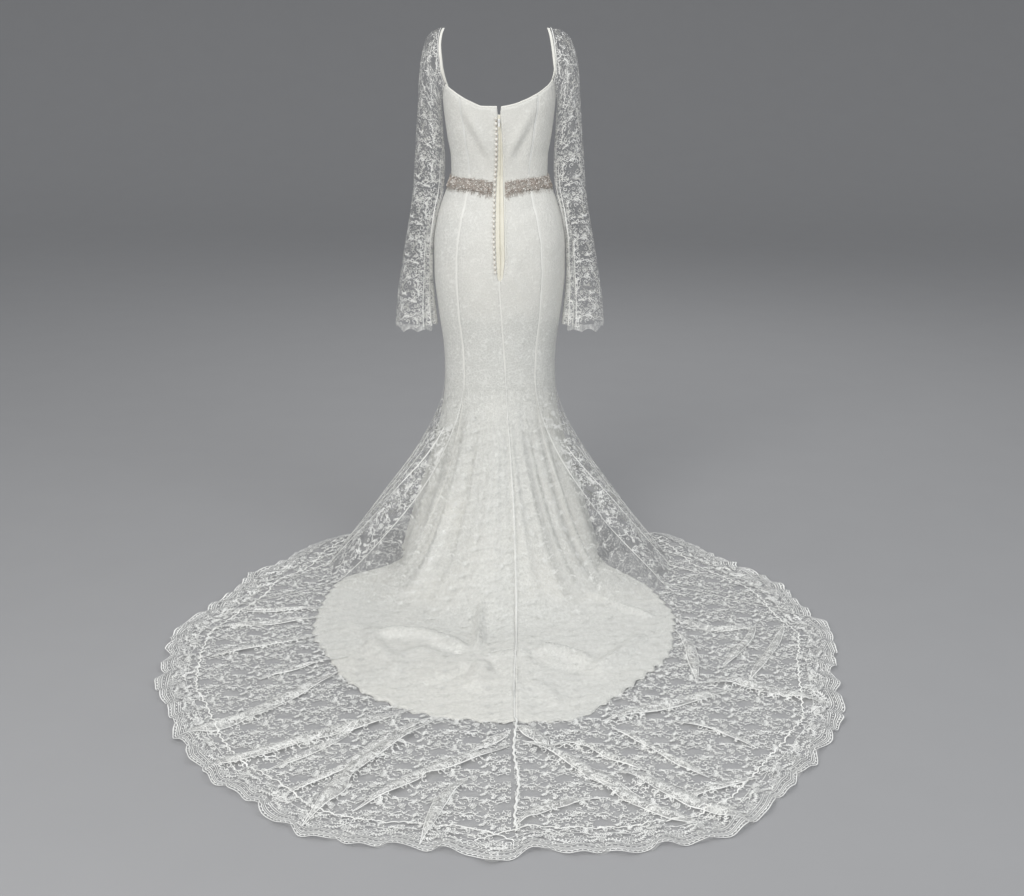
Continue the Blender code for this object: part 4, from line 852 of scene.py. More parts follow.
def motifTile(seed, pocket, flowers, sprays, curls, sprigs, stroke):
    # every motif is put at the spot farthest from those of its kind; two oval pockets stay bare
    width, depth = laceTile["width"], laceTile["depth"]
    rng = np.random.default_rng(seed)
    pockets = np.array([(0.24 * width, 0.27 * depth), (0.74 * width, 0.77 * depth)])

    def apart(point, others, flatness=1.0):
        gap = np.abs(np.asarray(others) - point)
        gap = np.minimum(gap, np.array([width, depth]) - gap)
        return np.hypot(gap[:, 0] / flatness, gap[:, 1]).min()

    def spots(count, margin):
        chosen = []
        while len(chosen) < count:
            tries = rng.random((14, 2)) * (width, depth)
            tries = [p for p in tries if apart(p, pockets, 1.7) > pocket * margin]
            if tries:
                chosen.append(max(tries, key=lambda p: apart(p, chosen) if chosen else 1.0))
        return chosen

    def turned():
        return rng.random() * math.tau

    def sized(motif):
        least, more = laceTile[motif]
        return least + more * rng.random()

    bm = bmesh.new()
    for x, y in spots(flowers, 1.5):
        flower(bm, x, y, turned(), laceTile["flower"], 0.8 * stroke)
    for x, y in spots(sprays, 1.35):
        spray(bm, x, y, turned(), sized("spray"), stroke)
    for x, y in spots(curls, 1.1):
        curl(bm, x, y, turned(), sized("curl"), rng.choice([-1.0, 1.0]), stroke)
    for x, y in spots(sprigs, 1.0):
        sprig(bm, x, y, turned(), sized("sprig"), rng.choice([-1.0, 1.0]), 0.85 * stroke)
    for level in (0.02, 0.52):
        phase = turned()
        curvedStrip(bm, 26, lambda t: (t * width, level * depth + 0.010 * math.sin(math.tau * t + phase)
                                       + 0.005 * math.sin(math.tau * 4 * t)), stroke, 0.0005)
    mesh = bpy.data.meshes.new("motifs")
    bm.to_mesh(mesh)
    bm.free()
    return mesh


def repeated(tile, rows):
    # copies of a flat mesh: each row is the step from copy to copy and how many
    obj = bpy.data.objects.new("repeated", tile)
    bpy.context.scene.collection.objects.link(obj)
    for step, count in rows:
        array = obj.modifiers.new("row", "ARRAY")
        array.use_relative_offset, array.use_constant_offset = False, True
        array.constant_offset_displace, array.count = step, count
    mesh = bpy.data.meshes.new_from_object(obj.evaluated_get(bpy.context.evaluated_depsgraph_get()))
    bpy.data.objects.remove(obj)
    return mesh


def spread(tile, low, high, scale=1.0):
    # copies of the tile over the flat area from low to high
    width, depth = laceTile["width"], laceTile["depth"]
    columns = max(1, math.ceil((high[0] - low[0]) / (width * scale)) + 1)
    rows = max(1, math.ceil((high[1] - low[1]) / (depth * scale)) + 1)
    mesh = repeated(tile, [((width, 0.0, 0.0), columns), ((0.0, depth, 0.0), rows)])
    flat = flatPoints(mesh) * (scale, scale, 1.0)
    mesh.vertices.foreach_set("co", (flat + (low[0], low[1], 0.0)).ravel())
    return mesh


def trimmed(mesh, inside):
    # takes away the faces that reach past the edge of the piece
    flat = flatPoints(mesh)
    keep = inside(flat[:, 0], flat[:, 1])
    bm = bmesh.new()
    bm.from_mesh(mesh)
    bmesh.ops.delete(bm, geom=[v for v, stays in zip(bm.verts, keep) if not stays], context="VERTS")
    bpy.data.meshes.remove(mesh)
    return bm


def makeChart(surface, low, high, top, bottom, count=121):
    # a flat map of a surface in metres: u around from its middle, v down from its top
    angles, levels = np.linspace(low, high, 61), np.linspace(top, bottom, count)
    a, l = np.meshgrid(angles, levels)
    points = surface(a.ravel(), l.ravel()).reshape(count, 61, 3)
    steps = np.linalg.norm(np.diff(points, axis=1), axis=2)
    around = np.concatenate((np.zeros((count, 1)), np.cumsum(steps, axis=1)), axis=1)
    around -= around[:, 30:31]
    down = np.concatenate(([0.0], np.cumsum(np.linalg.norm(np.diff(points[:, 30], axis=0), axis=1))))
    reach = max(-around.min(), around.max())
    grid = np.linspace(-reach, reach, 501)
    table = np.stack([np.interp(grid, row, angles) for row in around])
    return {"down": down, "levels": levels, "reach": reach, "table": table, "low": around[:, 0],
            "high": around[:, -1], "surface": surface}


def chartInside(chart, u, v, side=0.001, top=0.0, bottom=0.0):
    low, high = np.interp(v, chart["down"], chart["low"]), np.interp(v, chart["down"], chart["high"])
    return (u > low + side) & (u < high - side) & (v > top) & (v < chart["down"][-1] - bottom)


def chartSpot(chart, u, v):
    # the angle and the level at a spot of the flat map
    level = np.interp(v, chart["down"], chart["levels"])
    row = np.clip(np.interp(v, chart["down"], np.arange(len(chart["down"]))), 0, len(chart["down"]) - 1.001)
    column = np.clip((u + chart["reach"]) / (2 * chart["reach"]) * 500.0, 0, 499.999)
    i, j = row.astype(int), column.astype(int)
    f, g = row - i, column - j
    t = chart["table"]
    angle = (t[i, j] * (1 - f) + t[i + 1, j] * f) * (1 - g) + (t[i, j + 1] * (1 - f) + t[i + 1, j + 1] * f) * g
    return angle, level


def chartPlace(chart, u, v, lift):
    angle, level = chartSpot(chart, u, v)
    return chart["surface"](angle, level) + lift[:, None] * outward(chart["surface"], angle, level)


motifSets = {
    # seed, radius of the bare pockets, flowers, sprays, curls, sprigs, width of the threads
    "train": (11, 0.0150, 4, 12, 58, 80, 0.0021),
    "sleeve": (23, 0.0165, 2, 7, 50, 60, 0.0016),
    "fall": (37, 0.0080, 1, 3, 36, 84, 0.0016),
}
trainTile, sleeveTile, fallTile = (motifTile(*motifs) for motifs in motifSets.values())
print("lace motifs drawn", len(trainTile.polygons), len(sleeveTile.polygons), len(fallTile.polygons))


# lace overskirt
laceGore = {
    "bodyRows": 6, "fallRows": 30, "floorRows": 76, "hemDepth": 0.012, "threadLift": 0.0004, "border": 0.088,
    "tile": 0.84, "fallTile": 0.62, "patch": 0.011, "fadeIn": 0.20, "faintLift": -0.0010,
}


def floorPoint(x, y, lift):
    def at(px, py):
        away, radius = polar(px, py)
        wander, rise = ruffle(away, radius)
        return placed(away, radius + wander, laceOnFloor(away, radius) + rise)

    step = 0.003
    normal = unit(np.cross(at(x + step, y) - at(x - step, y), at(x, y + step) - at(x, y - step)))
    return at(x, y) + lift[:, None] * normal


def borderDepth(away):
    # how deep the scalloped border is: full on the train, shallow where the hem only touches the floor
    touch, hem = planRadii(lacePlan, away)
    return np.minimum(laceGore["border"], 0.62 * np.maximum(hem - touch, 0.02))


def laceShell(name, start, end, columns, hasTrain):
    bodyRows, fallRows = laceGore["bodyRows"], laceGore["fallRows"]
    floorRows = laceGore["floorRows"] if hasTrain else 3
    scallops = 2 * columns

    def place(x, y, z):
        angle = start + (end - start) * x
        row = -2.0 + np.clip(y / bodyRows, 0.0, 1.0) * 2.0
        row = row + np.clip((y - bodyRows) / fallRows, 0.0, 1.0) * gown["fallRows"]
        row = row + np.clip((y - bodyRows - fallRows) / floorRows, 0.0, 1.0) * gown["laceRows"]
        away = sweptAngle(angle, np.maximum(row, 0.0))
        touch, hem = planRadii(lacePlan, away)
        notch = laceGore["hemDepth"] * np.abs(np.cos(np.pi * x * scallops)) * smoothStep((hem - touch) / 0.20)
        above = np.where(row < 0.0, row * 0.3, row)
        close = seamShift(x, start, end, 0.0 * x, np.where(row < 0.0, 0.15, np.maximum(touch, 0.16)), above)
        return laceSurface(close, row, notch * smoothStep(row - 12.9))

    def uv(x, y):
        points = place(x, y, 0.0 * x)
        away, reach = polar(points[:, 0], points[:, 1])
        off = wrapped(away - 0.5 * (start + end))
        down = np.where(y < bodyRows + fallRows, y / (bodyRows + fallRows) * 0.66, reach)
        return np.radians(off) * reach, down

    across = round((end - start) * 0.9)
    refine = [(bodyRows + fallRows + 1, 1), (bodyRows + fallRows + floorRows - 3, 1)] if hasTrain else []
    bm = gridPiece(across, bodyRows + fallRows + floorRows, refine)
    obj = addPiece(pieceName("lace", name), bm, skirtNet, place, uv)
    return wear(facedOut(obj), "lace", "lace_" + name)


def laceThreads(name, start, end, columns, hasTrain):
    lift = laceGore["threadLift"]

    def seamed(angle, row):
        # the cloth reaches to the wandering seam at the centre back
        share = (angle - start) / (end - start)
        share = 1.0 - share if start == 0.0 else share * (end == 360.0)
        return laceSurface(angle + share * laceDrift(row), row)

    chart = makeChart(seamed, start, end, -2.0, 5.0 if hasTrain else 6.2)
    depth = chart["down"][-1]
    overLining = columns != 4
    tile, scale = (fallTile, laceGore["fallTile"]) if overLining else (trainTile, laceGore["tile"])
    mesh = spread(tile, (-chart["reach"], 0.0), (chart["reach"], depth), scale)

    def onFall(u, v):
        # the pattern begins in patches that are scattered evenly and close up on the way down
        size = laceGore["patch"]
        scatter = np.sin(np.floor(u / size) * 12.9898 + np.floor(v / size) * 78.233) * 43758.5453
        kept = scatter - np.floor(scatter) < smoothStep(v / laceGore["fadeIn"])
        return kept & chartInside(chart, u, v, 0.001, 0.002, 0.0 if hasTrain else 0.045)

    bm = trimmed(mesh, onFall)
    word = pieceName("threads", name)
    fall = addPiece(word + "Fall", bm, skirtThreads if overLining else threads,
                    lambda u, v, z: chartPlace(chart, u, v, 0.5 * z - 0.0005))
    made = [wear(fall, "lace")]
    if not hasTrain:
        return made
    low, high = sweptAngle(np.array([start + 0.01, end - 0.01]), 5.0)
    # the floor that a back gore or a side gore can reach: from x, y to x, y
    corners = [(-0.05, 0.30, 0.88, 1.64), (0.28, -0.16, 0.83, 0.86)]
    x0, y0, x1, y1 = corners[0] if columns == 8 else corners[1]
    if start > 180.0:
        x0, x1 = -x1, -x0
    # fine and faint over the lining, bold past its hem
    layers = [("Train", trainTile, laceGore["tile"], threads, lift)]
    if overLining:
        layers.insert(0, ("Lining", fallTile, laceGore["fallTile"], skirtThreads, laceGore["faintLift"]))
    for part, tile, scale, material, rise in layers:
        def inside(x, y, past=(part == "Train")):
            away, radius = polar(x, y)
            touch, hem = planRadii(lacePlan, away)
            liningHem = planRadii(liningPlan, away)[1] - 0.006
            seam = drift(gown["fallRows"] + gown["laceRows"] * (radius - touch) / (hem - touch))
            between = (away > low + 0.1 + seam * (start == 0.0)) & (away < high - 0.1 + seam * (end == 360.0))
            between &= (radius > touch - 0.004) & (radius < hem - borderDepth(away) + 0.022)
            return between & ((radius > liningHem) if past else (radius < liningHem + 0.004))

        bm = trimmed(spread(tile, (x0, y0), (x1, y1), scale), inside)
        piece = addPiece(word + part, bm, material, lambda x, y, z, rise=rise: floorPoint(x, y, z + rise))
        made.append(wear(piece, "lace"))
    return made


shells, laceWork = {}, {}
for gore in gores:
    shells[gore[0]] = laceShell(*gore)
    laceWork[gore[0]] = laceThreads(*gore)
print("lace skirt made", sum(len(obj.data.polygons) for made in laceWork.values() for obj in made))


# the scalloped border of the train
borderLook = {
    "span": 0.086, "full": 0.094, "cordScallop": 0.026, "cordWave": 0.0045, "cordWidth": 0.0034,
    # depth of each line in from the edge, how much its ends drop as a share of the hem's scallop, its width
    "lines": ((0.0012, 1.0, 0.0024), (0.0078, 1.0, 0.0014), (0.0120, 0.95, 0.0014), (0.0165, 0.9, 0.0018),
              (0.0262, 0.8, 0.0014), (0.0310, 0.75, 0.0014), (0.0700, 0.3, 0.0014)),
}


def hemLine(start, end):
    # evenly spaced points of the hem, with the way inwards at each
    angle = np.linspace(start, end, 1200)
    away = sweptAngle(angle, gown["fallRows"] + gown["laceRows"])
    hem = planRadii(lacePlan, away)[1]
    points = placed(away, hem, 0.0)[:, :2]
    run = unit(np.gradient(points, axis=0))
    inward = np.stack([run[:, 1], -run[:, 0]], axis=-1)
    if (inward * points).sum() > 0.0:
        inward = -inward
    length = np.concatenate(([0.0], np.cumsum(np.linalg.norm(np.diff(points, axis=0), axis=1))))
    return {"points": points, "inward": inward, "length": length, "away": away}


def borderTile():
    # one scallop, x from 0 to 1 along the hem and y the depth in metres; the outer edge is an arc
    bm = bmesh.new()
    span, edge = borderLook["span"], laceGore["hemDepth"]

    def arc(level, drop):
        return lambda t: (t * span, level + drop * (2.0 * abs(t - 0.5)) ** 2.2)

    for level, drop, width in borderLook["lines"]:
        curvedStrip(bm, 14, arc(level, drop * edge), width, 0.0008)
    for k in range(10):
        x, y = arc(0.0048, edge)((k + 0.5) / 10)

        def picot(t, x=x, y=y):
            return x + 0.0040 * math.cos(t * math.pi), y + 0.0044 * math.sin(t * math.pi) - 0.001

        curvedStrip(bm, 5, picot, 0.0018, 0.0009)
    for k in range(9):
        x, y = arc(0.0212, 0.85 * edge)((k + 0.5) / 9)
        petal(bm, x - 0.0026, y, 0.0, 0.0052, 0.0030, 0.0006, 4)
    flower(bm, 0.5 * span, 0.044, 0.3, 0.0125)
    flower(bm, 0.0, 0.058, 0.9, 0.0100)
    for side in (-1.0, 1.0):
        spray(bm, (0.5 + 0.27 * side) * span, 0.046, 0.5 * side + (0.0 if side > 0 else math.pi), 0.030)
        curl(bm, (0.5 + 0.14 * side) * span, 0.062, 1.2 * side, 0.0070, side)
        curl(bm, (0.5 + 0.40 * side) * span, 0.034, 2.0 * side, 0.0060, -side)
        spray(bm, (0.5 + 0.36 * side) * span, 0.066, 0.2 * side, 0.024)
    for k in range(22):
        sprig(bm, (k + 0.5) / 22 * span, 0.030 + 0.040 * ((k * 7) % 11) / 11.0, k * 1.7, 0.010, 1.0)
    mesh = bpy.data.meshes.new("border")
    bm.to_mesh(mesh)
    bm.free()
    return mesh


def laceBorder(name, start, end, columns, tile):
    line = hemLine(start + 0.02, end - 0.02)
    scallops, last = 2 * columns, len(line["length"]) - 1
    mesh = repeated(tile, [((borderLook["span"], 0.0, 0.0), scallops)])

    def place(x, y, z):
        spot = np.clip(x / (borderLook["span"] * scallops), 0.0, 1.0) * last
        k = np.clip(spot.astype(int), 0, last - 1)
        f = (spot - k)[:, None]
        hem = line["points"][k] * (1 - f) + line["points"][k + 1] * f
        inward = unit(line["inward"][k] * (1 - f) + line["inward"][k + 1] * f)
        away = line["away"][k]
        touch, reach = planRadii(lacePlan, away)
        flat = smoothStep((reach - touch) / 0.20)
        depth = y * np.minimum(1.0, borderDepth(away) / borderLook["full"] + 0.02) * (0.25 + 0.75 * flat)
        at = hem + inward * depth[:, None]
        return floorPoint(at[:, 0], at[:, 1], z + laceGore["threadLift"])

    return wear(addPiece(pieceName("border", name), mesh, threads, place), "lace")


def innerCord(name, start, end):
    # the bright wavy cord between the border and the rest of the lace
    line = hemLine(start + 0.02, end - 0.02)
    whole = line["length"][-1]
    waves = max(4, round(whole / borderLook["cordScallop"]))

    def place(x, y, z):
        s = x * whole
        away = np.interp(s, line["length"], line["away"])
        depth = borderDepth(away) + borderLook["cordWave"] * np.abs(np.sin(np.pi * x * waves))
        centre = readOff(s, line["length"], line["points"])
        inward = unit(readOff(s, line["length"], line["inward"]))
        at = centre + inward * (depth + (y - 0.5) * borderLook["cordWidth"])[:, None]
        return floorPoint(at[:, 0], at[:, 1], 0.0016 - 0.0006 * np.abs(2 * y - 1))

    return wear(addPiece(pieceName("borderCord", name), gridPiece(waves * 6, 1), boldThreads, place), "lace")


scallopTile = borderTile()
for gore in gores:
    if gore[4]:
        laceWork[gore[0]].append(laceBorder(*gore[:4], scallopTile))
        laceWork[gore[0]].append(innerCord(gore[0], gore[1], gore[2]))
print("borders made")


# folds of the train: the net lies double along each
foldBand = {"edge": 0.0010, "lift": 0.0011, "rows": 44, "columns": 4, "pattern": 0.62}


def foldSpots(points, count=200):
    # a smooth run through the points of a fold, and the way across it
    line = np.array(smoothPath([(x, y) for x, y in points], count))
    run = unit(np.gradient(line, axis=0))
    length = np.concatenate(([0.0], np.cumsum(np.linalg.norm(np.diff(line, axis=0), axis=1))))
    return line, np.stack([-run[:, 1], run[:, 0]], axis=-1), length


def foldWidth(number, halfWidth, t):
    # narrow at the ends and a little uneven on the way
    taper = 0.06 + 0.94 * smoothStep(t / 0.40) * smoothStep((1.0 - t) / 0.30)
    return 0.9 * halfWidth * taper * (1.0 + 0.14 * np.sin(7.0 * t + 1.7 * number) + 0.06 * np.sin(19.0 * t + number))


def foldStrip(number, fold):
    points, _, halfWidth = fold
    first, last = np.array(points[0]), np.array(points[-1])
    ends = (first + 0.04 * (first - points[1]), last + 0.14 * (last - points[-2]))
    line, across, length = foldSpots([ends[0], *points[1:-1], ends[1]])
    shares = np.linspace(0.0, 1.0, len(line))

    def spot(t, side):
        centre, way = readOff(t, shares, line), readOff(t, shares, across)
        off = side * foldWidth(number, halfWidth, t) + 0.0022 * np.sin(7.0 * t + 2.1 * number)
        at = centre + way * off[:, None]
        away, reach = polar(at[:, 0], at[:, 1])
        hem = planRadii(lacePlan, away)[1] - 0.014
        at = at * np.minimum(1.0, hem / reach)[:, None]
        return at[:, 0], at[:, 1]

    def place(x, y, z):
        px, py = spot(x, 2.0 * y / foldBand["columns"] - 1.0)
        return floorPoint(px, py, 0.0 * x + foldBand["lift"])

    def uv(x, y):
        return x * length[-1], y / foldBand["columns"] * 2.0 * halfWidth

    name, bm = f"{number:02d}", gridPiece(foldBand["rows"], foldBand["columns"])
    made = [wear(addPiece("foldBand" + name, bm, doubledNet, place, uv), "lace")]
    for side, word in ((-1.0, "a"), (1.0, "b")):
        def edgePlace(x, y, z, side=side):
            px, py = spot(x, side + 0.0 * x)
            way = readOff(x, shares, across)
            off = (y - 0.5) * 2.0 * foldBand["edge"] * (0.75 + 0.25 * np.sin(9.0 * x + number + side))
            return floorPoint(px + way[:, 0] * off, py + way[:, 1] * off, 0.0 * x + foldBand["lift"] + 0.0005)

        made.append(wear(addPiece("foldEdge" + name + word, gridPiece(60, 1), threads, edgePlace), "lace"))
    return made


foldPieces = []
for number, fold in enumerate(trainFolds):
    foldPieces += foldStrip(number + 1, fold)


def foldThreads():
    # the lace of the second layer, seen inside the folds
    mesh = spread(trainTile, (-0.80, 0.43), (0.80, 1.60), foldBand["pattern"])

    def inside(x, y):
        keep = np.zeros(len(x), dtype=bool)
        for number, (points, _, halfWidth) in enumerate(trainFolds):
            off, share = nearestOnPath([tuple(p) for p in foldSpots(points, 12)[0]], x, y)
            keep |= off < 0.96 * foldWidth(number + 1, halfWidth, share)
        return keep

    def place(x, y, z):
        return floorPoint(x, y, z + foldBand["lift"] + 0.0002)

    return wear(addPiece("foldThreads", trimmed(mesh, inside), threads, place), "lace")


foldPieces.append(foldThreads())
print("fold bands made", len(foldPieces[-1].data.polygons))


# seam cords on the satin and on the lace
seamLook = {
    # widths
    "body": 0.0062, "back": 0.0046, "lace": 0.0024, "bodice": 0.0040, "cord": 0.0042,
    # the heights of the waist and the zip's end, then the rows where seams end
    "waist": 1.09, "zipEnd": 0.814, "liningHem": 7.9, "liningEdge": 9.1, "laceHem": 13.8, "frontHem": 5.5,
    "cordEnd": 13.2,
}


def surfaceStrip(name, surface, angle, top, bottom, rows, width, lift, material, slot, turn=None):
    # a narrow crowned strip down a surface; turn(level) moves it round in degrees
    def place(x, y, z):
        level = top + (bottom - top) * y / rows
        middle = angle + (turn(level) if turn else 0.0 * level)
        centre = surface(middle, level)
        radius = np.maximum(np.hypot(centre[:, 0], centre[:, 1]), 0.05)
        turned = middle + np.degrees((x - 0.5) * width / radius)
        rise = lift * (1.0 - (2.0 * x - 1.0) ** 2 * 0.85)
        return surface(turned, level) + rise[:, None] * outward(surface, turned, level, 0.004)

    return wear(addPiece(name, gridPiece(3, rows), material, place), slot)


def bodyDrift(height):
    return drift((gown["knee"] - height) / 0.1)


for angle in seamAngles[1:]:
    top = float(bodyTop(angle)) - 0.008
    word = f"{int(angle):03d}"
    surfaceStrip("seamBodice" + word, bodySurface, angle, top, seamLook["waist"], 40, seamLook["bodice"], 0.0005,
                 softSeam, "satin_and_lace")
    surfaceStrip("seamBody" + word, bodySurface, angle, seamLook["waist"], gown["knee"], 80, seamLook["body"], 0.0009,
                 seamCloth, "satin_and_lace")
    bottom = seamLook["liningHem"] if angle in (48.0, 312.0) else gown["fallRows"]
    surfaceStrip("seamSkirt" + word, liningSurface, angle, 0.0, bottom, 60, 0.6 * seamLook["body"], 0.0005,
                 seamCloth, "satin_and_lace")
surfaceStrip("seamBackBody", bodySurface, 0.0, seamLook["zipEnd"], gown["knee"], 50, seamLook["back"], 0.0009,
             seamCloth, "satin_and_lace", bodyDrift)
surfaceStrip("seamBackSkirt", liningSurface, 0.0, 0.0, seamLook["liningHem"], 70, 0.7 * seamLook["back"], 0.0005,
             seamCloth, "satin_and_lace", drift)
laceSeams = {
    # angle: the row where the seam ends
    0.0: seamLook["liningEdge"], 48.0: seamLook["laceHem"], 312.0: seamLook["laceHem"], 90.0: seamLook["laceHem"],
    270.0: seamLook["laceHem"], 135.0: seamLook["frontHem"], 225.0: seamLook["frontHem"],
}
for angle, bottom in laceSeams.items():
    surfaceStrip(f"seamLace{int(angle):03d}", laceSurface, angle, -2.0, bottom, 130, seamLook["lace"], 0.0005,
                 skirtThreads if angle == 0.0 else softSeam, "lace", laceDrift if angle == 0.0 else None)
# past the lining the centre back seam is a cord drawn together
surfaceStrip("seamLaceCord", laceSurface, 0.0, seamLook["liningEdge"], seamLook["cordEnd"], 130, seamLook["cord"],
             0.0020, threads, "lace",
             lambda row: laceDrift(row) + 0.16 * np.sin(2.6 * row) + 0.05 * np.sin(23.0 * row))
# folds that the net makes where it leaves the lining at the sides
sideFolds = [
    # angle, from row, to row, lean in degrees, width
    (58.0, 0.9, 8.0, 5.0, 0.0034), (66.0, 1.1, 9.0, 5.0, 0.0026), (75.0, 1.2, 8.5, 3.0, 0.0030),
    (83.0, 1.6, 9.0, -2.0, 0.0022), (-57.0, 1.4, 7.5, -4.0, 0.0024), (-68.0, 1.5, 8.5, -4.0, 0.0020),
    (-79.0, 1.6, 8.5, 2.0, 0.0026),
]
for number, (angle, top, bottom, lean, width) in enumerate(sideFolds):
    surfaceStrip(f"sideFold{number + 1}", laceSurface, angle % 360.0, top, bottom, 90, width, 0.0010, boldThreads,
                 "lace", lambda row, lean=lean: lean * np.sin(0.45 * (row - 1.0)))
print("seam cords made")


# sleeves
sleeveLook = {
    "columns": 72, "rows": 92, "gathers": 0.0052, "gatherAngle": 168.0, "cuffScallops": 9, "tile": 0.80,
    "inner": 0.62, "innerTop": 0.40, "cuff": 13.0,
}
sleeveLines = [
    # angle, from row, width
    (0.0, 0.3, 0.0020), (180.0, 0.3, 0.0026), (168.0, 2.0, 0.0022), (193.0, 4.0, 0.0022), (155.0, 5.5, 0.0026),
    (143.0, 7.0, 0.0022), (132.0, 8.5, 0.0020), (118.0, 10.0, 0.0018),
]


# how far in the tops of the shoulders lie, how much higher the feet stand
strapShape = {"Left": (0.007, 0.0), "Right": (0.024, 0.0105), "frontDrop": 0.0135, "spread": 0.0046}


def strapLine(count, word):
    lean, raised = strapShape[word]
    x, y, h = np.array(strapPath).T
    foot = 1.0 - smoothStep((h - h[0]) / 0.060)
    path = np.stack([x - lean * smoothStep((h - 1.330) / 0.110), y, h + raised * foot], axis=-1)
    back = np.array(smoothPath(path, count))
    front = back[-2::-1]
    rise = front[:, 2] - back[0, 2]
    out = strapShape["spread"] * smoothStep(rise / 0.045) * np.minimum(front[:, 1] / 0.059, 1.0)
    drop = strapShape["frontDrop"] * (1.0 - smoothStep(rise / 0.060))
    return np.concatenate((back, np.stack([front[:, 0] + out, -front[:, 1], front[:, 2] - drop], axis=-1)))


def armholeLine(word):
    over = strapLine(12, word) + (0.0033 + gown["seamGap"] + 0.0012, 0.0, 0.0024)
    angle = 112.0 - 44.0 * np.arange(1, 12) / 12.0
    height = bodyTop(angle if word == "Left" else -angle) - gown["bindingHeight"]
    under = placed(angle, ringRadius(angle, height) + 0.0022, height) + (0.0, 0.0, gown["shoulder"])
    line = np.concatenate((over, under))
    middle, half = (sleeveRings[0][1] + sleeveRings[0][3]) / 2, (sleeveRings[0][1] - sleeveRings[0][3]) / 2
    turn = np.degrees(np.arctan2(line[:, 1] / sleeveRings[0][4], (line[:, 2] - middle) / half)) % 360.0
    order = np.argsort(turn)
    return turn[order], line[order]


ringTable = [(float(k), *ring) for k, ring in enumerate(sleeveRings)]


def sleeveSurface(word, side):
    armholeTurns, armholePoints = armholeLine(word)

    def surface(angle, row):
        angle, row = np.asarray(angle, dtype=float) % 360.0, np.clip(row, 0.0, sleeveLook["cuff"])

        def ring(r):
            turn = np.radians(angle)
            c = [lookUp(ringTable, r, k) for k in range(1, 6)]
            middle = np.stack([(c[0] + c[2]) / 2, 0.0 * turn, (c[1] + c[3]) / 2], axis=-1)
            half = np.stack([(c[0] - c[2]) / 2, 0.0 * turn, (c[1] - c[3]) / 2], axis=-1)
            flat = np.stack([0.0 * turn, c[4] * np.sin(turn), 0.0 * turn], axis=-1)
            return middle + np.cos(turn)[:, None] * half + flat, middle

        here, middle = ring(row)
        first = ring(0.0 * row)[0]
        share = lookUp(ringTable, row, 6)
        edge = np.stack([np.interp(angle, armholeTurns, armholePoints[:, k], period=360.0) for k in range(3)], axis=-1)
        point = here + share[:, None] * (edge - first)
        # gathers hang on the inner side from the elbow down, and soft ones across the upper arm
        low = smoothStep((row - 6.6) / 3.5) * np.exp(-(((angle - sleeveLook["gatherAngle"]) / 60.0) ** 2))
        ripple = sleeveLook["gathers"] * low * np.sin(np.radians(angle * 14.0) + 0.35 * row)
        ripple = ripple + 0.0016 * np.sin(np.radians(angle * 3.0) + 1.3 * row) * smoothStep(row / 3.0)
        point = point + ripple[:, None] * unit(point - middle)
        return np.stack([side * point[:, 0], point[:, 1], point[:, 2] - gown["shoulder"]], axis=-1)

    return surface


def sleeveOut(surface, angle, row):
    around = surface(angle + 3.0, row) - surface(angle - 3.0, row)
    down = surface(angle, np.minimum(row + 0.2, sleeveLook["cuff"])) - surface(angle, np.maximum(row - 0.2, 0.0))
    normal = unit(np.cross(around, down))
    middle = 0.5 * (surface(0.0 * angle, row) + surface(0.0 * angle + 180.0, row))
    point = surface(angle, row)
    return np.where(((point - middle) * normal).sum(-1, keepdims=True) > 0.0, normal, -normal)


def cuffWave(angle):
    turn = np.radians(angle)
    return (0.009 * (np.abs(np.cos(turn * sleeveLook["cuffScallops"] / 2)) - 0.5)
            + 0.003 * np.sin(2.0 * turn + 1.0) + 0.0025 * np.sin(5.0 * turn))


def cuffRise(angle, row):
    return np.where(row > 12.6, cuffWave(angle), 0.0)


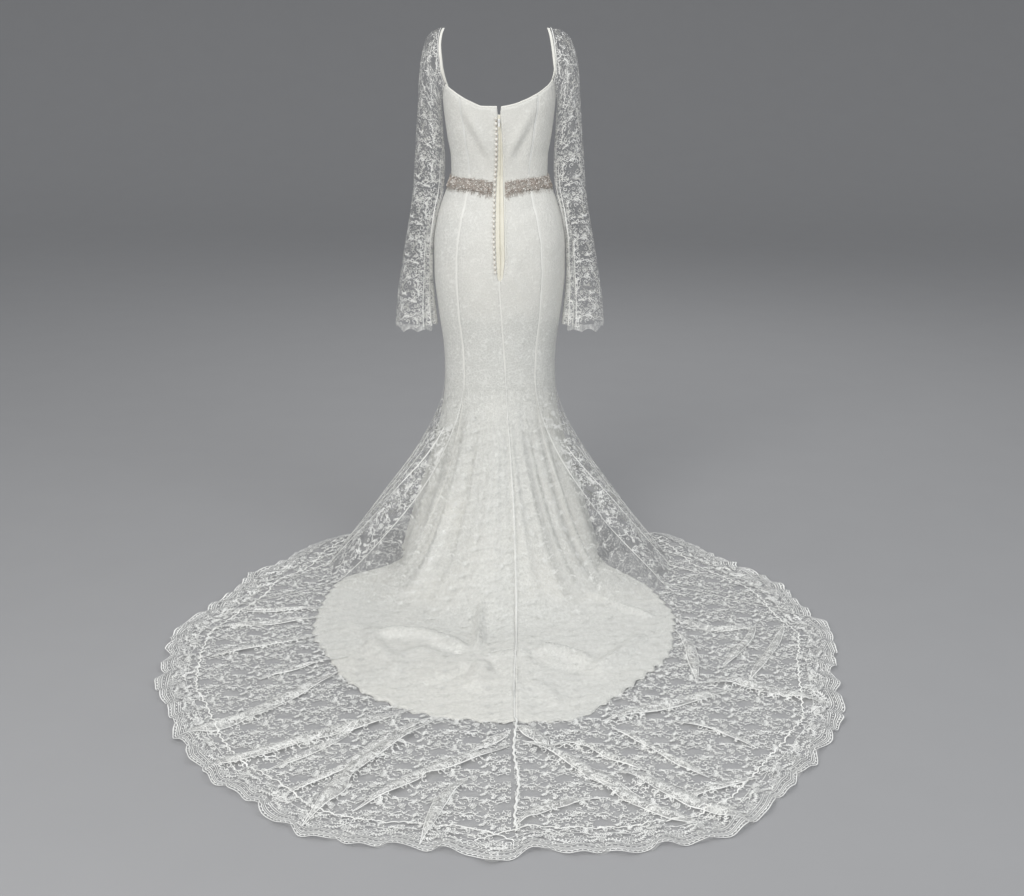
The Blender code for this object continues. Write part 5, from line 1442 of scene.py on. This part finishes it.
def sleevePiece(word, side):
    surface = sleeveSurface(word, side)

    def place(x, y, z):
        angle, row = 270.0 + 360.0 * x, sleeveLook["cuff"] * y / sleeveLook["rows"]
        point = surface(angle, row)
        point[:, 2] += np.where(y > sleeveLook["rows"] - 0.5, cuffRise(angle, row), 0.0)
        return point

    def uv(x, y):
        return x * 0.34, y / sleeveLook["rows"] * 0.84

    shell = addPiece("sleeveNet" + word, gridPiece(sleeveLook["columns"], sleeveLook["rows"]), net, place, uv)
    weld(shell, 0.00005)
    wear(shell, "lace", "sleeve_" + word.lower())

    chart = makeChart(surface, 270.0, 630.0, 0.0, sleeveLook["cuff"], 161)

    def laid(u, v, z, lift):
        angle, level = chartSpot(chart, u, v)
        return surface(angle, level) + (z + lift)[:, None] * sleeveOut(surface, angle, level)

    mesh = spread(sleeveTile, (-chart["reach"], 0.0), (chart["reach"], chart["down"][-1]), sleeveLook["tile"])
    bm = trimmed(mesh, lambda u, v: chartInside(chart, u, v, 0.0, 0.002, 0.006))
    work = [wear(addPiece("sleeveThreads" + word, bm, boldThreads, lambda u, v, z: laid(u, v, z, 0.0005)), "lace")]
    # the gathered inner side below the elbow shows its layers close together
    half = chart["reach"]
    mesh = spread(trainTile, (-half, 0.0), (half, chart["down"][-1]), sleeveLook["inner"])

    def gathered(u, v):
        share = np.clip(0.5 + 0.5 * u / half, 0.0, 1.0)
        top, off = sleeveLook["innerTop"], np.abs(share * 360.0 + 270.0 - 360.0 - sleeveLook["gatherAngle"])
        near = off / (20.0 + 34.0 * smoothStep((v - top) / 0.35)) < 1.0
        return near & (v > top) & chartInside(chart, u, v, 0.0, 0.002, 0.006)

    inner = trimmed(mesh, gathered)
    gathers = addPiece("gatheredThreads" + word, inner, boldThreads, lambda u, v, z: laid(u, v, z, 0.0012))
    work.append(wear(gathers, "lace"))

    # bright lines: the two edges folded along the arm, the armhole seam and the cuff
    for number, (angle, top, width) in enumerate(sleeveLines):
        def line(x, y, z, angle=angle, top=top, width=width):
            row = top + (12.9 - top) * y / 90.0
            wander = angle + 3.0 * np.sin(0.9 * row + angle)
            turn = wander + np.degrees((x - 0.5) * width / 0.05)
            return surface(turn, row) + 0.0012 * sleeveOut(surface, turn, row)

        work.append(wear(addPiece(f"sleeveLine{word}{number + 1}", gridPiece(2, 90), boldThreads, line), "lace"))

    def armholeBand(x, y, z):
        angle, row = 360.0 * x, 0.02 + 0.10 * y
        return surface(angle, row) + 0.0012 * sleeveOut(surface, angle, row)

    work.append(wear(addPiece("armholeSeam" + word, gridPiece(80, 1), boldThreads, armholeBand), "lace"))

    def cuffBand(x, y, z):
        angle = 360.0 * x
        row = sleeveLook["cuff"] - 0.19 * (1.0 - y / 3.0)
        point = surface(angle, row) + 0.0010 * sleeveOut(surface, angle, row)
        point[:, 2] += cuffWave(angle) * y / 3.0
        return point

    cuff = addPiece("cuffEdge" + word, gridPiece(144, 3), doubledNet, cuffBand, lambda x, y: (x * 0.5, y * 0.005))
    work.append(wear(cuff, "lace"))
    return shell, work


sleeveWork = {word: sleevePiece(word, side) for word, side in (("Left", 1.0), ("Right", -1.0))}
print("sleeves made")


# straps and neck bindings
strapLook = {"width": 0.0066, "wall": 0.0024}


def strapPiece(word, side):
    line = strapLine(24, word)
    count = len(line)

    def place(x, y, z):
        k = np.round(y).astype(int)
        here = line[k]
        along = unit(line[np.minimum(k + 1, count - 1)] - line[np.maximum(k - 1, 0)])
        foot = 1.0 - smoothStep(np.minimum(k, count - 1 - k) / 9.0)
        way = np.where(here[:, 1] >= 0.0, 1.0, -1.0)
        across = np.stack([1.0 - 0.45 * foot, -0.75 * foot * way, 0.0 * foot], axis=-1)
        across = unit(across - along * (across * along).sum(-1, keepdims=True))
        out = unit(np.cross(along, across))
        out = np.where(out[:, 2:3] + 0.3 * out[:, 0:1] < 0.0, -out, out)
        turn = x * math.tau
        point = here + across * (0.5 * strapLook["width"] * np.cos(turn))[:, None]
        point = point + out * (0.5 * strapLook["wall"] * (1.0 + np.sin(turn)))[:, None]
        return np.stack([side * point[:, 0], point[:, 1], point[:, 2] - gown["shoulder"]], axis=-1)

    obj = addPiece("shoulderStrap" + word, gridPiece(12, count - 1), cord, place)
    weld(obj, 0.00001, True)
    return wear(obj, "binding", "strap_" + word.lower())


bindingLook = {"wall": 0.0030, "below": 0.003}


def bindingPiece(name, node, start, end):
    def place(x, y, z):
        angle = start + (end - start) * y / 120.0
        if start == 0.0:
            angle = np.maximum(angle, 3.0)
        if end == 360.0:
            angle = np.minimum(angle, 357.0)
        turn = x * math.tau
        height = bodyTop(angle) - 0.5 * gown["bindingHeight"] + 0.5 * gown["bindingHeight"] * np.cos(turn)
        inward = -0.5 * bindingLook["wall"] + 0.0004 + 0.5 * bindingLook["wall"] * np.sin(turn)
        level = bodyTop(angle) - bindingLook["below"]
        centre, normal = bodyPoints(angle, level), outward(bodySurface, angle, level, 0.002)
        point = np.stack([centre[:, 0], centre[:, 1], height - gown["shoulder"]], axis=-1)
        return point + normal * inward[:, None] * (1, 1, 0)

    obj = addPiece(name, gridPiece(10, 120), cord, place)
    weld(obj, 0.00001, True)
    return wear(obj, "binding", node)


for word, side in (("Left", 1.0), ("Right", -1.0)):
    strapPiece(word, side)
bindingPiece("neckBindingBackLeft", "neck_binding_back_left", 0.0, 69.0)
bindingPiece("neckBindingBackRight", "neck_binding_back_right", 291.0, 360.0)
bindingPiece("neckBindingFront", "neck_binding_front", 112.5, 247.5)
print("straps and bindings made")


# beaded belt
beltLook = {
    "top": 1.0805, "deep": 0.029, "sag": 0.011, "beads": 2100, "rosettes": 14, "strands": 60, "threads": 900,
    # radii of the beads, and the shares of pale ones
    "heart": 0.0019, "petal": 0.0015, "small": 0.0009, "hanging": 0.0008, "pale": 0.30, "paleHanging": 0.45,
    "rosette": 0.0044, "strandStep": 0.0022,
    # where it ends at the zip: the middle of the buttons, their half width and a gap
    "endLevel": 1.0625, "button": 0.0044, "halfButton": 0.0043, "gap": 0.0006,
}


def beltEnds():
    level, button = beltLook["endLevel"], beltLook["button"]
    left, right, radius = float(zipEdge(level, 1.0)), float(zipEdge(level, -1.0)), float(ringRadius(0.0, level))
    pastButtons = left + button + beltLook["halfButton"] + beltLook["gap"]
    return math.degrees(pastButtons / radius), 360.0 - math.degrees((right + button) / radius)


def beltPiece():
    first, last = beltEnds()

    def ragged(angle):
        return (0.0026 * np.sin(angle * 0.31) + 0.0042 * np.sin(angle * 0.83) * np.sin(angle * 0.37)
                + 0.0016 * np.sin(angle * 2.9))

    def sag(angle):
        away = wrapped(np.asarray(angle))
        tuft = 0.007 * np.exp(-(((away + 14.0) / 3.4) ** 2)) + 0.004 * np.exp(-(((away - 22.0) / 6.0) ** 2))
        return beltLook["sag"] * np.exp(-((away / 34.0) ** 2)), tuft

    def place(x, y, z):
        angle = first + (last - first) * x
        down = y / 8.0
        low, tuft = sag(angle)
        height = beltLook["top"] - low + 0.4 * ragged(angle + 40.0) * (1.0 - down)
        height = height - (beltLook["deep"] + ragged(angle) + tuft) * down
        out = 0.0012 + 0.0026 * np.sin(np.pi * np.clip(down, 0.02, 0.98)) ** 0.5
        out = out + 0.0005 * np.sin(angle * 3.1 + 9.0 * down)
        return bodyPoints(angle, height, out[:, None])

    base = addPiece("beltNet", gridPiece(300, 8), beltCloth, place, lambda x, y: (x * 0.9, y * 0.0056))
    wear(facedOut(base), "beaded_trim", "belt")
    rng = np.random.default_rng(5)
    angles, heights, sizes, pale = [], [], [], []
    for k in range(beltLook["rosettes"]):
        centre = first + (last - first) * (k + 0.5) / beltLook["rosettes"] + rng.normal() * 1.0
        level = beltLook["top"] - 0.5 * beltLook["deep"] + rng.normal() * 0.004
        for j in range(7):
            turn = j * math.tau / 6
            reach = 0.0 if j == 6 else beltLook["rosette"]
            angles.append(centre + math.degrees(reach * math.cos(turn) / 0.12))
            heights.append(level + reach * math.sin(turn))
            sizes.append(beltLook["heart"] if j == 6 else beltLook["petal"])
            pale.append(True)
    for k in range(beltLook["beads"]):
        angles.append(first + (last - first) * rng.random())
        heights.append(beltLook["top"] - beltLook["deep"] * (1.04 * rng.random() - 0.02))
        sizes.append(beltLook["small"] + beltLook["small"] * rng.random())
        pale.append(rng.random() < beltLook["pale"])
    for k in range(beltLook["strands"]):
        angle, length = first + (last - first) * rng.random(), rng.integers(3, 9)
        for j in range(length):
            angles.append(angle + 0.5 * math.sin(j + k))
            heights.append(beltLook["top"] - beltLook["deep"] - beltLook["strandStep"] * j)
            sizes.append(beltLook["hanging"] + 0.5 * beltLook["hanging"] * rng.random())
            pale.append(rng.random() < beltLook["paleHanging"])
    angles, heights = np.clip(np.array(angles), first + 0.4, last - 0.4), np.array(heights)
    onBelt = heights > beltLook["top"] - beltLook["deep"] - 0.001
    heights = heights - sag(angles)[0] - np.where(onBelt, 0.0, sag(angles)[1])
    points = bodyPoints(angles, heights, np.where(onBelt, 0.0038, 0.0014)[:, None])
    for colour, material, name in ((True, beadPale, "pearlBeads"), (False, beadDark, "champagneBeads")):
        bm = bmesh.new()
        for point, size, isPale in zip(points, sizes, pale):
            if isPale == colour:
                bmesh.ops.create_icosphere(bm, subdivisions=1, radius=size, matrix=Matrix.Translation(point))
        wear(addPiece(name, bm, material), "beaded_trim")
    # loose ends of thread at both sides of the belt and along its lower edge
    bm = bmesh.new()
    for k in range(beltLook["threads"]):
        angle = first + (last - first) * rng.random()
        low, tuft = sag(angle)
        edge = beltLook["top"] - float(low) - (beltLook["deep"] - 0.003 + float(tuft) if k % 5 else -0.001)
        reach, lean = (0.003 + 0.013 * rng.random() ** 1.5) * (1.0 if k % 5 else -0.35), rng.normal() * 1.6
        start = bodyPoints(np.array([angle]), np.array([edge]), 0.0016)[0]
        finish = bodyPoints(np.array([angle + lean]), np.array([edge - reach]), 0.0022)[0]
        side = Vector((math.cos(math.radians(angle)), -math.sin(math.radians(angle)), 0.0))

        def hang(t, s, start=Vector(start), finish=Vector(finish), side=side):
            return start.lerp(finish, t) + side * (0.0004 * s + 0.001 * math.sin(3 * t))

        strip(bm, 4, hang)
    wear(addPiece("beltThreads", bm, champagne), "beaded_trim")


beltPiece()
print("belt made")


# zip, buttons and loops
zipLook = {
    "top": 1.247, "end": 0.8105, "wall": 0.0010, "teeth": 250, "firstTooth": 1.2245, "lastTooth": 0.826,
    "tooth": (0.0026, 0.0008, 0.0011), "toothAngle": 0.35,
}


def tapePiece(word, side):
    def place(x, y, z):
        height = zipLook["top"] + (zipLook["end"] - zipLook["top"]) * y / 120.0
        outer = np.maximum(lookUp(zipOpening, height, 1) - gown["seamGap"], 0.0004)
        offset = side * lookUp(zipOpening, height, 2) + 0.00015 + (outer - 0.00015) * x
        angle = side * np.degrees(offset / ringRadius(0.0 * height, height))
        sink = -0.0004 - 0.0005 * np.sin(np.pi * x) ** 2
        return bodyPoints(angle, height, sink[:, None])

    obj = addPiece("zipTape" + word, gridPiece(6, 120), tape, place, lambda x, y: (x * 0.01, y * 0.0035),
                   zipLook["wall"])
    return wear(facedOut(obj), "zip_tape", "zip_tape_" + word.lower())


def bodyFrame(angle, height, out):
    a, h = np.array([float(angle)]), np.array([float(height)])
    point = bodyPoints(a, h, out)[0]
    normal = Vector(outward(bodySurface, a, h, 0.002)[0])
    across = Vector((0.0, 0.0, 1.0)).cross(normal).normalized()
    made = Matrix((across, normal.cross(across), normal)).transposed().to_4x4()
    made.translation = Vector(point)
    return made


for word, side in (("Left", 1.0), ("Right", -1.0)):
    tapePiece(word, side)

bm = bmesh.new()
for k in range(zipLook["teeth"]):
    height = zipLook["firstTooth"] - (zipLook["firstTooth"] - zipLook["lastTooth"]) * k / zipLook["teeth"]
    side = 1.0 if k % 2 else -1.0
    middle = math.degrees(float(lookUp(zipOpening, height, 2)) / float(ringRadius(0.0, height)))
    at = bodyFrame(middle + side * zipLook["toothAngle"], height, 0.0001) @ Matrix.Diagonal((*zipLook["tooth"], 1.0))
    bmesh.ops.create_cube(bm, size=1.0, matrix=at)
wear(addPiece("zipTeeth", bm, tape, smooth=False), "zip_tape")

buttonLook = {
    "count": 31, "top": 1.238, "bottom": 0.836, "setBack": 0.0044, "dome": (0.0040, 0.0040, 0.0021),
    "rim": (0.0041, 0.0041, 0.0012), "knot": (0.0020, 0.0017, 0.0010), "gapShadePlace": (0.0006, -0.0066, 0.0006),
}
buttonRows = [buttonLook["top"] + (buttonLook["bottom"] - buttonLook["top"]) * k / (buttonLook["count"] - 1)
              for k in range(buttonLook["count"])]
bm, gapShades = bmesh.new(), bmesh.new()
for height in buttonRows:
    x = float(zipEdge(height, 1.0)) + buttonLook["setBack"]
    at = bodyFrame(math.degrees(x / float(ringRadius(0.0, height))), height, 0.0009)
    dome = at @ Matrix.Translation((0.0, 0.0, 0.0017)) @ Matrix.Diagonal((*buttonLook["dome"], 1.0))
    bmesh.ops.create_uvsphere(bm, u_segments=14, v_segments=8, radius=1.0, matrix=dome)
    rim = at @ Matrix.Translation((0.0, 0.0, 0.0006)) @ Matrix.Diagonal((*buttonLook["rim"], 1.0))
    bmesh.ops.create_cone(bm, cap_ends=True, segments=14, radius1=1.0, radius2=0.94, depth=1.0, matrix=rim)
    # below each button but the last, a small brown lump in the gap as painted shade between the buttons
    if height > buttonRows[-1]:
        knot = at @ Matrix.Translation(buttonLook["gapShadePlace"]) @ Matrix.Diagonal((*buttonLook["knot"], 1.0))
        bmesh.ops.create_uvsphere(gapShades, u_segments=8, v_segments=5, radius=1.0, matrix=knot)
wear(addPiece("buttonKnots", gapShades, buttonGapShade), "covered_button")
buttonNodes = [f"button_{k + 1:02d}" for k in range(buttonLook["count"])]
wear(addPiece("coveredButtons", bm, buttonCloth), "covered_button", *buttonNodes)


loopLook = {
    "top": 1.145, "bottom": 0.870, "setBack": 0.0012, "width": 0.0026, "loopBack": 0.0030, "loop": (0.0042, 0.0034),
}


def loopStripPiece():
    def place(x, y, z):
        height = loopLook["top"] + (loopLook["bottom"] - loopLook["top"]) * y / 90.0
        offset = zipEdge(height, -1.0) + loopLook["setBack"] + loopLook["width"] * x
        angle = -np.degrees(offset / ringRadius(0.0 * height, height))
        return bodyPoints(angle, height, (0.0008 + 0.0008 * np.sin(np.pi * x))[:, None])

    obj = facedOut(addPiece("loopStrip", gridPiece(4, 90), cord, place))
    wear(obj, "binding", "button_loop_strip")
    bm = bmesh.new()
    for height in buttonRows:
        x = float(zipEdge(height, -1.0)) + loopLook["loopBack"]
        at = bodyFrame(-math.degrees(x / float(ringRadius(0.0, height))), height, 0.0014)

        def loop(t, s, at=at):
            turn = math.pi * (t - 0.5)
            reach, (wide, high) = 1.0 + 0.16 * s, loopLook["loop"]
            return at @ Vector((wide * math.cos(turn) * reach, high * math.sin(turn) * reach, 0.0006))

        strip(bm, 8, loop)
    wear(addPiece("buttonLoops", bm, cord), "binding")


loopStripPiece()

for node in ("zip_slider", "zip_pull_tab"):
    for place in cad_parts[node].material_slots:
        place.material = enamel
print("zip, buttons and loops made")


# the sheets of cloth and the size each was cut to, before the small trimmings
cut = {
    # name: flat width, flat length, flat area
    "front": (0.44, 1.29, 0.290), "side_front_left": (0.23, 1.33, 0.186), "side_front_right": (0.23, 1.33, 0.186),
    "side_back_left": (0.40, 1.56, 0.198), "side_back_right": (0.40, 1.52, 0.194),
    "back_left": (0.90, 1.86, 0.540), "back_right": (0.90, 1.86, 0.525),
    "lace_front": (0.53, 0.60, 0.188), "lace_side_front_left": (0.32, 0.60, 0.128),
    "lace_side_front_right": (0.32, 0.60, 0.130),
    "lace_side_back_left": (0.72, 0.95, 0.250), "lace_side_back_right": (0.72, 0.95, 0.268),
    "lace_back_left": (1.36, 1.70, 1.080), "lace_back_right": (1.36, 1.70, 1.110), "sleeve": (0.36, 0.84, 0.234),
}
for name, obj in satinPieces.items():
    width, length, area = cut[name]
for name, obj in shells.items():
    width, length, area = cut["lace_" + name]
for word, (shell, work) in sleeveWork.items():
    width, length, area = cut["sleeve"]
    "strap_" + word.lower()
    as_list(work)


# floor, light and camera
studio = {
    "floor": (0.32, 0.32, 0.325), "world": 0.70, "sky": (0.95, 0.97, 1.0), "horizon": (0.22, 0.22, 0.225), "key": 112.0,
    "fill": 32.0, "lens": 51.3, "half": 24.0, "wall": -6.0, "curve": 4.0, "eye": (-0.034, 4.0, 0.0885), "tilt": 72.7,
}
bm = bmesh.new()
bmesh.ops.create_grid(bm, x_segments=2, y_segments=80, size=studio["half"])
for vert in bm.verts:
    # past the line of the wall the sheet bends up in a quarter circle and goes on upright
    back, curve = max(0.0, studio["wall"] - vert.co.y), studio["curve"]
    bend = min(back / curve, math.pi / 2)
    vert.co.y = max(vert.co.y, studio["wall"]) - curve * math.sin(bend)
    vert.co.z = curve * (1.0 - math.cos(bend)) + max(0.0, back - curve * math.pi / 2) - gown["shoulder"] - 0.0004
floorFinish = Finish("pale floor", Roughness=0.9)
grain = floorFinish.noise(floorFinish.place("Object"), 6.0, 3.0)
floorFinish.feed(Base_Color=floorFinish.tint(grain, tuple(0.96 * c for c in studio["floor"]), studio["floor"]))
addPiece("floor", bm, floorFinish.material)

# soft light from above, and as grey as the far floor near the horizon
backdrop = Finish("studio", "worlds", "Background", Strength=studio["world"])
upward = backdrop.node("ShaderNodeSeparateXYZ", {}, {0: backdrop.node("ShaderNodeTexCoord")}, output=2)
skyTint = backdrop.tint(backdrop.between(upward, 0.16, 0.36), studio["horizon"], studio["sky"])
bpy.context.scene.world = backdrop.feed(Color=skyTint)


def softLight(name, place, aim, size, power, colour):
    light = bpy.data.lights.new(name, "AREA")
    light.shape, light.size, light.energy, light.color = "DISK", size, power, colour
    obj = bpy.data.objects.new(name, light)
    obj.location = place
    obj.rotation_euler = (Vector(aim) - Vector(place)).to_track_quat("-Z", "Y").to_euler()
    bpy.context.scene.collection.objects.link(obj)


softLight("key", (1.7, 3.6, 1.5), (0.0, 0.4, -0.7), 2.6, studio["key"], (1.0, 0.99, 0.975))
softLight("fill", (-2.6, 2.4, 1.2), (0.0, 0.4, -0.8), 2.2, studio["fill"], (0.94, 0.97, 1.0))
softLight("back", (-0.8, -2.6, 1.8), (0.0, 0.0, -0.6), 2.0, studio["fill"], (1.0, 1.0, 1.0))

camera = bpy.data.cameras.new("camera")
camera.lens, camera.sensor_width = studio["lens"], 36.0
camera.clip_start, camera.clip_end = 0.05, 80.0
view = bpy.data.objects.new("camera", camera)
view.location = studio["eye"]
view.rotation_euler = (math.radians(studio["tilt"]), 0.0, math.radians(180.0))
bpy.context.scene.collection.objects.link(view)
bpy.context.scene.camera = view
bpy.context.scene.view_settings.view_transform = "Standard"

drawn = [obj.data for obj in bpy.data.objects if obj.type == "MESH" and not obj.hide_render]
print("studio made, triangles before walls:", sum(len(face.vertices) - 2 for mesh in drawn for face in mesh.polygons))

bpy.context.view_layer.update()
